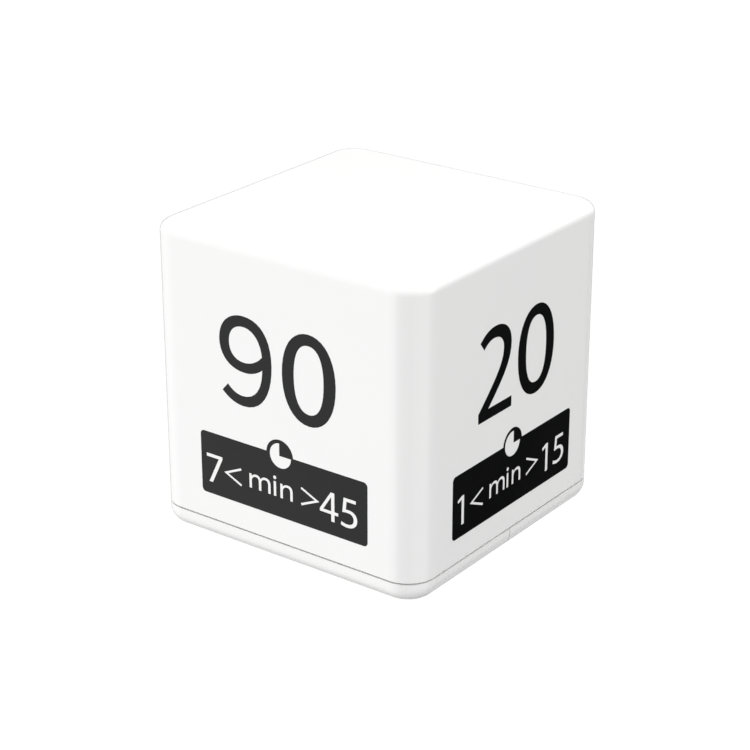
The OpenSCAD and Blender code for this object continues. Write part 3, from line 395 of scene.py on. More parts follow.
# The finishes of the nodes, also of those that new pieces stand for
NODE_FINISHES = {
    "gloss_white_abs": ("body_shell", "base_cover", "battery_door"),
    "eroded_white_styrene": ("display_frame", "sounder_ring"),
    "etched_black_abs": ("power_knob", "switch_slider"),
    "polished_clear_acrylic": ("display_window",),
    "backed_polariser": ("display_front_film",),
    "electrode_glass": ("display_front_glass", "display_rear_glass"),
    "satin_reflector_film": ("display_rear_film",),
    "layered_elastomer": ("connector_strip",),
    "solder_masked_laminate": ("main_board",),
    "poured_epoxy": ("controller_drop",),
    "rolled_nickelled_steel": ("switch_frame", "contact_positive", "contact_negative", "contact_bridge"),
    "drawn_nickelled_steel": ("tilt_can_1", "tilt_can_2", "crystal_can", "switch_pins"),
    "phenolic_paper": ("switch_base",),
    "moulded_nylon": ("tilt_plug_1", "tilt_plug_2"),
    "gold_flashed_brass": ("tilt_pins_1", "tilt_pins_2"),
    "lapped_steel": ("tilt_ball_1", "tilt_ball_2"),
    "rolled_brass": ("sounder_plate",),
    "fired_silver_paste": ("sounder_ceramic",),
    "blue_zinc_plated_steel": ("cover_screws", "board_screws"),
    "shrunk_blue_sleeve": ("capacitor",),
    "sintered_ferrite": ("driver_coil",),
    "moulded_chip_epoxy": ("chip_parts",),
    "lacquered_graphite_steel": ("battery_cell_1", "battery_cell_2"),
    "nickelled_spring_wire": ("contact_springs",),
    "extruded_red_vinyl": ("battery_lead_red", "sounder_lead_1"),
    "extruded_black_vinyl": ("battery_lead_black", "sounder_lead_2"),
}


def finish(name):
    """The material of that name, built on its first use."""
    found = bpy.data.materials.get(name)
    if found is None:
        found = bpy.data.materials.new(name)
        found.use_nodes = True
        tree = found.node_tree
        tree.nodes.clear()
        shader = FINISHES[name](tree)
        add(tree, "ShaderNodeOutputMaterial", {"Surface": shader.outputs[0]})
    return found


# ---------------------------------------------------------------- making pieces

def deselect():
    """Leaves nothing selected."""
    for other in list(bpy.context.selected_objects):
        other.select_set(False)


def activate(piece):
    """Selects one piece alone."""
    deselect()
    piece.select_set(True)
    bpy.context.view_layer.objects.active = piece


def begin(kind, name, **options):
    """Adds a primitive with nothing else selected, and names it."""
    deselect()
    group, word = kind.split(".")
    getattr(getattr(bpy.ops, group), f"primitive_{word}_add")(**options)
    piece = bpy.context.active_object
    piece.name = piece.data.name = name
    return piece


def edit(piece, *steps, top=False):
    """Runs mesh operators, each as (operator, options), on the whole piece or only on its faces that point up."""
    activate(piece)
    bpy.ops.object.mode_set(mode="EDIT")
    bpy.ops.mesh.select_all(action="SELECT")
    if top:
        mesh = bmesh.from_edit_mesh(piece.data)
        for face in mesh.faces:
            face.select_set(face.normal.z > 0.9)
    for operator, options in steps:
        operator(**options)
    bpy.ops.object.mode_set(mode="OBJECT")
    return piece


def settle(piece):
    """Puts a piece's place, turn and scale into its mesh."""
    activate(piece)
    bpy.ops.object.transform_apply(location=True, rotation=True, scale=True)


def closed(piece):
    """Merges doubles and turns every face outwards."""
    return edit(piece, (bpy.ops.mesh.remove_doubles, {"threshold": 1e-7}),
                (bpy.ops.mesh.normals_make_consistent, {"inside": False}))


def shaped(piece, kind, **settings):
    """Applies a modifier with its settings."""
    activate(piece)
    change = piece.modifiers.new("change", kind)
    for name, value in settings.items():
        setattr(change, name, value)
    bpy.ops.object.modifier_apply(modifier=change.name)
    return piece


def hand_over(piece, slot, material, *replaces, body="case", smooth=35, at=None):
    """Finishes a piece: place in the mesh, smooth shading, material, body and the nodes it stands for. The slot is not
    used.
    """
    settle(piece)
    if at:
        piece.data.transform(at)
    if smooth:
        bpy.ops.object.shade_smooth_by_angle(angle=math.radians(smooth))
    piece.data.materials.clear()
    piece.data.materials.append(finish(material))
    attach(piece, body)
    if replaces:
        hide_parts(*replaces)
    return piece


def moved(x=0.0, y=0.0, z=0.0, angle=0.0, axis="Z"):
    """Matrix that turns by an angle in degrees about an axis, then moves by millimetres."""
    return Matrix.Translation(Vector((x, y, z)) * MM) @ Matrix.Rotation(math.radians(angle), 4, axis)


def copied(piece, name, matrix):
    """A copy with its own mesh, moved by a matrix."""
    activate(piece)
    bpy.ops.object.duplicate(linked=False)
    other = bpy.context.active_object
    other.name = other.data.name = name
    other.data.transform(matrix)
    return other


def joined(name, parts):
    """One piece from several."""
    activate(parts[0])
    for part in parts:
        part.select_set(True)
    if len(parts) > 1:
        bpy.ops.object.join()
    piece = bpy.context.active_object
    piece.name = piece.data.name = name
    return piece


def spaced(name, model, matrices):
    """One piece from copies of a model, which is used up."""
    parts = [copied(model, f"{name}_{i}", matrix) for i, matrix in enumerate(matrices)]
    bpy.data.objects.remove(model)
    return joined(name, parts)


def hand_over_copies(model, names, places, slot, material, nodes):
    """Finishes a copy of a model at each place, for the node it stands for there. The model is used up."""
    for name, place, node in zip(names, places, nodes):
        hand_over(copied(model, name, place), slot, material, node)
    bpy.data.objects.remove(model)


def numbered(name, count):
    """A name with the numbers from one."""
    return [f"{name}_{i + 1}" for i in range(count)]


def turned(name, profile, vertices=40):
    """Round piece on the Z axis: a filled circle, extruded and scaled ring by ring through (radius, height)."""
    radius, height = profile[0]
    piece = begin("mesh.circle", name, vertices=vertices, radius=radius * MM, fill_type="NGON",
                  location=(0, 0, height * MM))
    settle(piece)
    steps = []
    for r, z in profile[1:]:
        steps.append((bpy.ops.mesh.extrude_region_move, {
            "TRANSFORM_OT_translate": {"value": (0, 0, (z - height) * MM)},
        }))
        steps.append((bpy.ops.transform.resize, {
            "value": (r / radius, r / radius, 1), "center_override": (0, 0, z * MM),
        }))
        radius, height = r, z
    edit(piece, *steps)
    return closed(piece)


def cuboid(name, sizes, middle=(0, 0, 0), angle=0):
    """Box of three sizes round its middle, turned about Z by an angle in degrees."""
    piece = begin("mesh.cube", name, size=1, location=[v * MM for v in middle],
                  rotation=(0, 0, math.radians(angle)))
    piece.scale = [v * MM for v in sizes]
    settle(piece)
    return piece


def block(name, low, high, edge=0.1, segments=2):
    """Box between two corners with all its edges rounded."""
    piece = cuboid(name, [b - a for a, b in zip(low, high)], [(a + b) / 2 for a, b in zip(low, high)])
    return shaped(piece, "BEVEL", width=edge * MM, segments=segments, limit_method="NONE")


def cut(piece, tool):
    """Cuts a tool out of a piece. The tool is used up."""
    shaped(piece, "BOOLEAN", operation="DIFFERENCE", solver="EXACT", object=tool)
    bpy.data.objects.remove(tool)


def through(points, steps=8):
    """Smooth path through given points."""
    points = [Vector(p) for p in points]
    last = len(points) - 1
    path = []
    for i in range(last):
        a, b, c, d = (points[min(max(k, 0), last)] for k in range(i - 1, i + 3))
        for s in range(steps):
            t = s / steps
            path.append(b + 0.5 * t * (c - a + (2 * a - 5 * b + 4 * c - d) * t + (3 * b - a - 3 * c + d) * t * t))
    return path + [points[last]]


def trimmed(path, short):
    """Part of a path, without that length at both its ends."""
    at = [0.0]
    for a, b in zip(path, path[1:]):
        at.append(at[-1] + (b - a).length)
    low, high = short, at[-1] - short

    def place(distance):
        i = next(k for k in range(1, len(at)) if at[k] >= distance)
        return path[i - 1].lerp(path[i], (distance - at[i - 1]) / (at[i] - at[i - 1]))

    return [place(low), *(p for p, d in zip(path, at) if low < d < high), place(high)]


def empty_curve(name, **settings):
    """A curve piece with its settings and no spline yet."""
    piece = begin("curve.bezier_circle", name)
    piece.data.splines.clear()
    for setting, value in settings.items():
        setattr(piece.data, setting, value)
    return piece


def meshed(piece):
    """A curve piece turned into a mesh."""
    activate(piece)
    bpy.ops.object.convert(target="MESH")
    return bpy.context.active_object


def wire(name, path, radius, sides=2):
    """Round wire along a path."""
    piece = empty_curve(name, dimensions="3D", bevel_depth=radius * MM, bevel_resolution=sides, use_fill_caps=True)
    spline = piece.data.splines.new("POLY")
    spline.points.add(len(path) - 1)
    for knot, place in zip(spline.points, path):
        knot.co = (*(v * MM for v in place), 1)
    return closed(meshed(piece))


def helix(radius, pitch, turns, steps):
    """Path of a coil that rises along Z."""
    count = int(turns * steps)
    return [Vector((radius * math.cos(math.tau * i / steps), radius * math.sin(math.tau * i / steps),
                    pitch * i / steps)) for i in range(count + 1)]


def wrapped(piece, radius, cuts=6):
    """Wraps a flat piece, with its first axis along the cylinder, round the X axis."""
    edit(piece, (bpy.ops.mesh.subdivide, {"number_cuts": cuts}))
    for vertex in piece.data.vertices:
        x, y, z = vertex.co
        angle, out = y / (radius * MM), radius * MM + z
        vertex.co = (x, out * math.sin(angle), out * math.cos(angle))
    return piece


def loops(path, at=(0.0, 0.0), scale=1.0):
    """Closed outlines from a path of M, L, C and Z steps, each a list of (left handle, point, right handle)."""
    def point(numbers):
        return Vector((at[0] + scale * numbers[0], at[1] + scale * numbers[1], 0)) * MM

    found, words = [], path.split()
    i = 0
    while i < len(words):
        step = words[i]
        count = {"M": 2, "L": 2, "C": 6, "Z": 0}[step]
        numbers = [float(w) for w in words[i + 1:i + 1 + count]]
        i += 1 + count
        if step == "M":
            start = point(numbers)
            found.append([[start, start, start]])
        elif step == "L":
            start = point(numbers)
            found[-1].append([start, start, start])
        elif step == "C":
            found[-1][-1][2] = point(numbers[:2])
            found[-1].append([point(numbers[2:4]), point(numbers[4:]), point(numbers[4:])])
        else:
            loop = found[-1]
            if (loop[0][1] - loop[-1][1]).length < 1e-7:
                loop[0][0] = loop.pop()[0]
    return found


def arc(cx, cy, r, quarters):
    """Path steps round a circle through angles in quarter turns, such as 0 1 2 for right, top and left."""
    steps = []
    for a, b in zip(quarters, quarters[1:]):
        k = 4 / 3 * math.tan((b - a) * math.pi / 8)
        (xa, ya), (xb, yb) = ((r * math.cos(math.pi / 2 * q), r * math.sin(math.pi / 2 * q)) for q in (a, b))
        steps.append("C " + " ".join(f"{v:.5f}" for v in (
            cx + xa - k * ya, cy + ya + k * xa, cx + xb + k * yb, cy + yb - k * xb, cx + xb, cy + yb,
        )))
    return " ".join(steps)


def rectangle(x0, y0, x1, y1):
    """Outline between two corners."""
    return loops(f"M {x0} {y0} L {x1} {y0} L {x1} {y1} L {x0} {y1} Z")


def ring_outline(x, y, outer, inner):
    """Outlines of a flat ring."""
    return [loop for r in (outer, inner) for loop in loops(f"M {x + r} {y} {arc(x, y, r, (0, 1, 2, 3, 4))} Z")]


def outlined(x0, y0, x1, y1, line=0.15):
    """Outlines of a printed rectangle."""
    return rectangle(x0, y0, x1, y1) + rectangle(x0 + line, y0 + line, x1 - line, y1 - line)


def sign(letter, x, y, scale=1.0):
    """Outlines of one printed sign with its foot line at y."""
    if letter == "6":
        return loops(SIGNS["9"], (x + 12.65 * scale, y + 18.3 * scale), -scale)
    return loops(SIGNS[letter], (x, y), scale)


def flat_piece(name, outlines, turn, surface, thickness, resolution=10):
    """Thin flat shape from closed outlines, lying on the surface that is that far out along the turn's third axis."""
    piece = empty_curve(name, dimensions="2D", fill_mode="BOTH", extrude=thickness / 2, resolution_u=resolution)
    for loop in outlines:
        spline = piece.data.splines.new("BEZIER")
        spline.bezier_points.add(len(loop) - 1)
        spline.use_cyclic_u = True
        for knot, (left, middle, right) in zip(spline.bezier_points, loop):
            knot.handle_left_type = knot.handle_right_type = "FREE"
            knot.co, knot.handle_left, knot.handle_right = middle, left, right
    piece = meshed(piece)
    piece.data.transform(Matrix.Translation((0, 0, surface + thickness / 2)))
    piece.data.transform(turn.to_4x4())
    return closed(piece)


def laid(name, outlines, turn, surface, thickness, slot, material, body="case", resolution=10):
    """A flat piece that is finished at once."""
    return hand_over(flat_piece(name, outlines, turn, surface, thickness, resolution), slot, material, body=body,
                     smooth=0)


# ---------------------------------------------------------------- settings

def hex_property(name, description, default):
    """A property that holds a colour as sRGB hex."""
    return StringProperty(name=name, description=f"{description}, as sRGB hex", default=default)


def length_property(name, description, size_mm, **options):
    """A property that holds a length, given in millimetres."""
    return FloatProperty(name=name, description=description, default=size_mm * MM, unit="LENGTH", precision=5,
                         **options)


def angle_property(name, description, degrees):
    """A property that holds an angle, given in degrees."""
    return FloatProperty(name=name, description=description, default=math.radians(degrees), subtype="ANGLE")


class TimerCaseSettings(bpy.types.PropertyGroup):
    """Finish of the moulded case"""
    plastic: hex_property("Plastic", "Colour of the case", "#ECECEB")
    plastic_shade: hex_property("Plastic shade", "Second colour of the case", "#E9EAE9")
    gloss_roughness: FloatProperty(
        name="Roughness", description="Mean roughness of the moulded gloss", default=0.2, min=0.05, max=0.9,
        subtype="FACTOR")


class TimerPrintSettings(bpy.types.PropertyGroup):
    """Printed numbers and labels"""
    ink: hex_property("Ink", "Colour of the ink", "#070708")
    ink_thin: hex_property("Thin ink", "Colour where the ink is thinner", "#0D0D0E")
    film: length_property("Film", "Thickness of the ink", 0.02, min=0.005 * MM, max=0.1 * MM)
    foot: length_property("Foot line", "Height of the foot of the large numbers", 31.05)
    panel_low: length_property("Panel foot", "Lower edge of the dark panel", 9.95)
    panel_high: length_property("Panel head", "Upper edge of the dark panel", 22.98)
    panel_corner: length_property("Panel corner", "Corner radius of the dark panel", 0.9)


class TimerStageSettings(bpy.types.PropertyGroup):
    """Camera, floor and lights"""
    azimuth: angle_property("Azimuth", "Camera's direction round the timer", 36.763)
    elevation: angle_property("Elevation", "Camera's angle above the floor", 23.125)
    roll: angle_property("Roll", "Camera's roll", -0.051)
    distance: length_property("Distance", "Camera's distance from the timer", 426.55)
    aim_height: length_property("Aim height", "Height the camera looks at", 28.826)
    aim_aside: length_property("Aim aside", "Camera's shift to its right", -0.954)
    lens: FloatProperty(name="Lens", description="Focal length in millimetres", default=102.72, min=10)
    tent: FloatProperty(name="Light tent", description="Strength of the white surroundings", default=1.07, min=0)
    overhead: FloatProperty(
        name="Overhead light", description="Power of the soft light above, in watts", default=2.3, min=0)


class TimerDisplaySettings(bpy.types.PropertyGroup):
    """Digits of the display"""
    digit_height: length_property("Digit height", "Height of a digit", 9.5)
    digit_width: length_property("Digit width", "Width of a digit", 5.6)
    stroke: length_property("Stroke", "Width of a segment", 1.05)
    slant: angle_property("Slant", "Lean of the digits", 5)


class TimerScrewSettings(bpy.types.PropertyGroup):
    """Threads of the screws"""
    case_pitch: length_property("Case screw pitch", "Rise of one turn of the case screws", 0.8)
    board_pitch: length_property("Board screw pitch", "Rise of one turn of the board screws", 0.6)


class TimerBoardSettings(bpy.types.PropertyGroup):
    """Tracks and windings of the circuit board"""
    track: length_property("Track width", "Width of a copper track", 0.35)
    winding_turns: IntProperty(name="Winding turns", description="Turns that show on the coil", default=11, min=1)


class TimerLeadSettings(bpy.types.PropertyGroup):
    """Wires inside the case"""
    insulation: length_property("Insulation", "Outer radius of a lead", 0.5)
    core: length_property("Core", "Radius of the tinned core", 0.22)
    bare: length_property("Bare length", "Length stripped at each end", 0.8)


# ---------------------------------------------------------------- operators

class TIMER_OT_finishes(bpy.types.Operator):
    """Finishes of the moulded case and of every other node of the frame"""
    bl_idname = "timer.finishes"
    bl_label = "Finishes"

    def execute(self, context):
        for name, nodes in NODE_FINISHES.items():
            for node in nodes:
                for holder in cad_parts[node].material_slots:
                    holder.material = finish(name)
        return {"FINISHED"}


# Slot and finish of what several steps use
INK = ("printed_ink", "pad_printed_black_ink")
SOLDER = ("solder", "frozen_tin_solder")
LEGEND = ("pale_print", "screened_white_ink")
NICKEL = ("plated_steel", "drawn_nickelled_steel")


def panel_outline(settings, edges, clock):
    """The dark panel with the clock sign on its upper edge, the disc left bare apart from one quarter."""
    left, low, right, high = edges
    low += settings.panel_low / MM
    high += settings.panel_high / MM
    r = settings.panel_corner / MM
    ring, disc = 3.24, 2.585                       # outer radius of the ring, and radius of the bare disc
    (ring_x, ring_y), (disc_x, disc_y), (hands_x, hands_y) = clock
    dip = math.asin(-ring_y / ring)                # the ring's middle lies a little below the panel's edge
    reach, start = ring * math.cos(dip), dip / (math.pi / 2)
    edge = " ".join((
        f"M {left} {high - r}", f"L {left} {low + r}", arc(left + r, low + r, r, (2, 3)),
        f"L {right - r} {low}", arc(right - r, low + r, r, (3, 4)),
        f"L {right} {high - r}", arc(right - r, high - r, r, (0, 1)),
        f"L {ring_x + reach} {high}", arc(ring_x, high + ring_y, ring, (start, 1, 2 - start)),
        f"L {left + r} {high}", arc(left + r, high - r, r, (1, 2)), "Z",
    ))
    # the hands meet beside the middle of the disc, so its outline starts and ends where they reach it
    off_x, off_y = (hands_x - disc_x) / disc, (hands_y - disc_y) / disc
    start, end = math.acos(off_x) / (math.pi / 2), 4 + math.asin(off_y) / (math.pi / 2)
    face = " ".join((
        f"M {hands_x} {high + disc_y + disc * math.sqrt(1 - off_x ** 2)}",
        arc(disc_x, high + disc_y, disc, (start, 2, 3, end)), f"L {hands_x} {high + hands_y}", "Z",
    ))
    return loops(edge) + loops(face)


class TIMER_OT_prints(bpy.types.Operator):
    """Large numbers and dark panels printed on the four sides"""
    bl_idname = "timer.prints"
    bl_label = "Printed faces"

    def execute(self, context):
        settings = context.scene.timer_prints
        small, above_panel_foot = 1 / 3, 2.4
        for face, (turn, large, little, edges, clock) in FACES.items():
            foot = settings.foot / MM
            shapes = [loop for letter, x, lift in large for loop in sign(letter, x, foot + lift)]
            laid(f"number_{face}", shapes, turn, CAD_HIGH.x, settings.film, *INK)
            shapes = panel_outline(settings, edges, clock)
            foot = settings.panel_low / MM + above_panel_foot
            for letter, x, lift in little:
                shapes += sign(letter, x, foot + lift, small)
            laid(f"panel_{face}", shapes, turn, CAD_HIGH.x, settings.film, *INK)
        return {"FINISHED"}


def segment_bars(width, height, stroke, slant):
    """Outlines of the seven bars of a digit, from its lower left corner, by letter."""
    gap, h, mid = 0.12, stroke / 2, height / 2            # gap between a bar's end and its corner

    def bar(x0, y0, x1, y1):
        """Bar with pointed ends between the middles of two corners."""
        if y0 == y1:
            corners = [(x0 + gap, y0), (x0 + gap + h, y0 + h), (x1 - gap - h, y0 + h), (x1 - gap, y0),
                       (x1 - gap - h, y0 - h), (x0 + gap + h, y0 - h)]
        else:
            corners = [(x0, y0 + gap), (x0 - h, y0 + gap + h), (x0 - h, y1 - gap - h), (x0, y1 - gap),
                       (x0 + h, y1 - gap - h), (x0 + h, y0 + gap + h)]
        words = [f"{x + (y - mid) * math.tan(slant):.4f} {y:.4f}" for x, y in corners]
        return "M " + " L ".join(words) + " Z"

    left, right, low, high = h, width - h, h, height - h
    return {
        "a": bar(left, high, right, high), "g": bar(left, mid, right, mid), "d": bar(left, low, right, low),
        "f": bar(left, mid, left, high), "b": bar(right, mid, right, high),
        "e": bar(left, low, left, mid), "c": bar(right, low, right, mid),
    }


class TIMER_OT_display(bpy.types.Operator):
    """Digits of the liquid crystal display, on the face that shows through the window"""
    bl_idname = "timer.display"
    bl_label = "Display digits"

    def execute(self, context):
        settings = context.scene.timer_display
        width, height = settings.digit_width / MM, settings.digit_height / MM
        bars = segment_bars(width, height, settings.stroke / MM, settings.slant)
        middle, digits, dot = 12.6, (-15.2, -7.8, 2.2, 9.6), 0.55     # along -Y, left edges along X, half a dot
        foot = middle - height / 2
        shown, resting = [], []
        for x in digits:
            for letter, path in bars.items():
                (resting if letter == "g" else shown).extend(loops(path, (x, foot)))
        for y in (foot + 0.3 * height, foot + 0.7 * height):
            lean = (y - foot - height / 2) * math.tan(settings.slant)
            shown += rectangle(lean - dot, y - dot, lean + dot, y + dot)
        face, layer = -1.848 * MM, 0.016 * MM         # just outside the film's face
        laid("digits_driven", shown, UNDER, face, layer, "display_segment", "driven_liquid_crystal")
        laid("digits_resting", resting, UNDER, face, layer, "display_segment", "resting_liquid_crystal")
        return {"FINISHED"}


class TIMER_OT_base_marks(bpy.types.Operator):
    """OFF and ON beside the power knob, and the raised plus and minus marks inside the battery door"""
    bl_idname = "timer.base_marks"
    bl_label = "Base marks"

    def execute(self, context):
        film = context.scene.timer_prints.film / 2                # thinner than the large print, half of it sunk in
        foot, scale = 25.75, 0.082
        letters = []
        for letter, x in (("O", -10.2), ("F", -8.75), ("F", -7.7), ("O", 7.0), ("N", 8.45)):
            letters += sign(letter, x, foot, scale)
        laid("switch_words", letters, UNDER, -film / 2, film, *INK)
        # marks on the inner face of the door, under the ends of the cells
        aside, size, door_face, relief = 19.5, 1.6, 1.795 * MM, 0.125 * MM
        shapes = []
        for y, way in CELLS:
            shapes += loops(SIGNS["+"], (way * aside, y), size) + loops(SIGNS["-"], (-way * aside, y), size)
        laid("door_polarity_marks", shapes, ABOVE, door_face, relief, "white_abs", "gloss_white_abs", "door")
        return {"FINISHED"}


def screw(name, head_r, head_h, root, crest, length, pitch):
    """Pan head screw with a cross recess, the outside of its head at z 0 and its shank towards +Z."""
    # domed head, shank and pointed tip
    end = head_h + length
    body = turned(name, (
        (0.62 * head_r, 0), (0.83 * head_r, 0.09 * head_h), (0.96 * head_r, 0.29 * head_h),
        (head_r, 0.58 * head_h), (head_r, head_h), (root, head_h), (root, end - 0.9), (0.45 * root, end - 0.1),
        (0.05, end),
    ))
    # cross recess, narrower at its foot
    depth = 0.55 * head_h
    for angle in (0, 90):
        blade = cuboid("blade", (1.15 * head_r, 0.26 * head_r, 2 * depth))
        edit(blade, (bpy.ops.transform.resize, {
            "value": (0.45, 0.8, 1), "center_override": (0, 0, depth * MM),
        }), top=True)
        blade.data.transform(moved(angle=angle))
        cut(body, blade)
    # thread: a small diamond swept up a helix, which stops 1 mm short of the tip
    rise = crest - root
    thread = begin("mesh.circle", "thread", vertices=4, radius=rise * MM, fill_type="NOTHING",
                   location=(root * MM, 0, (head_h + 2 * rise) * MM), rotation=(math.pi / 2, 0, 0))
    settle(thread)
    turns = int((length - 1 - 2 * rise) / pitch)
    shaped(thread, "SCREW", angle=math.tau, screw_offset=pitch * MM, iterations=turns, steps=20, render_steps=20)
    edit(thread, (bpy.ops.mesh.fill_holes, {"sides": 4}))
    return joined(name, [body, closed(thread)])


class TIMER_OT_screws(bpy.types.Operator):
    """Case screws under the base and board screws on the board"""
    bl_idname = "timer.screws"
    bl_label = "Screws"

    def execute(self, context):
        settings = context.scene.timer_screws
        at, case_head, board_head = CASE_SCREW_INSET, 2.9, 11.2       # heights of the heads' outer faces
        corners = ((-at, -at), (at, -at), (-at, at), (at, at))
        groups = (
            ("case_screw", "cover_screws", {
                "head_r": 1.75, "head_h": 1.3, "root": 0.72, "crest": 0.98, "length": 10.0,
                "pitch": settings.case_pitch / MM,
            }, [moved(x, y, case_head, angle) for (x, y), angle in zip(corners, (20, 65, 40, 5))]),
            ("board_screw", "board_screws", {
                "head_r": 1.5, "head_h": 1.0, "root": 0.55, "crest": 0.78, "length": 5.0,
                "pitch": settings.board_pitch / MM,
            }, [moved(x, y, board_head, 180, "X") @ moved(angle=angle)
                for (x, y), angle in zip(BOARD_SCREWS, (10, 50, 75, 30))]),
        )
        for name, node, sizes, places in groups:
            hand_over_copies(screw(f"{name}_model", **sizes), numbered(name, 4), places, "plated_steel",
                             "blue_zinc_plated_steel", (node,) * 4)
        return {"FINISHED"}


# Tracks of the board's upper side, as points on it; its lands, the first seven with a wire; and the sensors' pins
TRACKS = (
    ((20.6, -2.5), (20.6, -5.4), (19.4, -6.6), (19.4, -9.6), (18.5, -10.5), (18.5, -11.2)),
    ((17.8, -2.5), (17.8, -5.0), (15.6, -7.2), (15.6, -10.4), (14.6, -11.4), (4.2, -11.4), (3.0, -10.9)),
    ((2.8, -2.5), (2.8, -4.2), (2.2, -4.8)),
    ((-2.8, -2.5), (-2.8, -4.2), (-2.2, -4.8)),
    ((5.2, -9.0), (4.1, -9.0)), ((5.2, -8.0), (4.1, -8.0)),
    ((-2.0, -26.5), (-2.0, -23.6), (-3.0, -22.6), (-3.0, -14.8), (-2.0, -13.8)),
    ((0.0, -26.5), (0.0, -14.2), (-0.4, -13.8)),
    ((2.0, -26.5), (2.0, -23.6), (3.0, -22.6), (3.0, -12.9), (2.2, -12.1)),
    ((-14.67, -15.25), (-16.4, -15.25), (-17.6, -14.05), (-17.6, -12.6)),
    ((-13.25, -13.83), (-12.2, -12.8), (-12.2, -10.4), (-11.2, -9.4), (-4.1, -9.4)),
    ((13.25, -13.83), (13.25, -12.6), (5.6, -12.6), (4.4, -12.2), (2.9, -11.5)),
    ((14.67, -15.25), (14.67, -18.0), (16.0, -19.3), (20.4, -19.3), (21.4, -18.3), (21.4, -14.5)),
    ((-18.5, -6.9), (-18.5, -5.2), (-16.8, -3.5), (-12.2, -3.5), (-11.4, -3.9), (-9.6, -3.9)),
    ((-10.7, -5.0), (-6.4, -5.0), (-4.2, -7.2)), ((-10.7, -7.9), (-4.2, -8.3)),
    ((-6.9, -3.75), (-6.9, -5.6), (-3.9, -8.0)), ((-4.5, -3.75), (-4.5, -5.0), (-2.9, -6.6)),
    ((1.9, -3.75), (3.6, -5.4), (3.6, -6.8)),
    ((-9.3, -13.2), (-9.3, -11.6), (-8.0, -10.3), (-4.0, -10.3)), ((-6.9, -13.2), (-6.9, -12.2), (-3.6, -11.0)),
    ((-4.5, -13.2), (-4.5, -12.6), (-2.6, -12.0)), ((-2.1, -13.2), (-1.4, -12.5)), ((0.3, -13.2), (0.3, -12.6)),
)
PADS = ((20.6, -2.5), (17.8, -2.5), (2.8, -2.5), (-2.8, -2.5), (-2.0, -26.5), (0.0, -26.5), (2.0, -26.5),
        (-18.5, -8.0), (-18.5, -11.0), (5.2, -9.0), (5.2, -8.0), (18.5, -10.9), (18.5, -18.1))
TILT_FEET = ((-14.67, -15.25), (-13.25, -13.83), (13.25, -13.83), (14.67, -15.25))


class TIMER_OT_board(bpy.types.Operator):
    """Copper tracks, tinned pads, printed outlines and solder joints of the circuit board"""
    bl_idname = "timer.board"
    bl_label = "Circuit board"

    def execute(self, context):
        settings = context.scene.timer_board
        radius = settings.track / MM / 2
        tracks = [wire("track", [Vector((x, y, BOARD_TOP)) for x, y in path], radius) for path in TRACKS]
        flatness = 0.12
        copper = edit(joined("board_tracks", tracks), (bpy.ops.transform.resize, {
            "value": (1, 1, flatness), "center_override": (0, 0, BOARD_TOP * MM),
        }))
        hand_over(copper, "board_laminate", "masked_copper")
        # tinned lands under the joints and round the screws
        rings = [loop for x, y in PADS for loop in ring_outline(x, y, 0.95, 0.3)]
        rings += [loop for x, y in BOARD_SCREWS for loop in ring_outline(x, y, 2.1, 1.0)]
        laid("board_lands", rings, ABOVE, (BOARD_TOP - 0.005) * MM, 0.035 * MM, "copper", "tinned_copper",
             resolution=6)
        # white outlines round the components
        lines = []
        for (x, y), outer, inner in (((0, -8.5), 4.75, 4.55), (CAPACITOR[:2], 3.1, 2.93), (COIL[:2], 3.5, 3.33)):
            lines += ring_outline(x, y, outer, inner)
        lines += outlined(5.9, -9.9, 13.0, -7.1)
        for y in DIODE_ROWS:
            lines += outlined(DIODE_LEFT - 0.4, y - 0.4, DIODE_LEFT + 3.3, y + 1.7)
        for x in CHIP_LEFTS:
            for y in CHIP_ROWS:
                lines += outlined(x - 0.3, y - 0.3, x + 1.9, y + 1.1, 0.12)
        lines += loops(SIGNS["+"], (20.6, -4.3), 0.7) + loops(SIGNS["-"], (17.8, -4.3), 0.7)
        lines += loops(SIGNS["+"], (-18.5, -5.9), 0.6)
        laid("board_legend", lines, ABOVE, (BOARD_TOP + 0.005) * MM, 0.022 * MM, *LEGEND, resolution=8)
        # solder joints, hollow cones that climb the wires
        cone = turned("cone", (
            (0.8, 0), (0.8, 0.04), (0.62, 0.12), (0.48, 0.28), (0.4, 0.5), (0.3, 0.6), (0.1, 0.64),
        ), 24)
        wired, board_foot = PADS[:7], 9.02
        feet = [moved(x, y, BOARD_TOP + 0.02) for x, y in wired]
        feet += [moved(x, y, board_foot, 180, "X") for x, y in TILT_FEET]
        hand_over(spaced("solder_joints", cone, feet), *SOLDER)
        return {"FINISHED"}


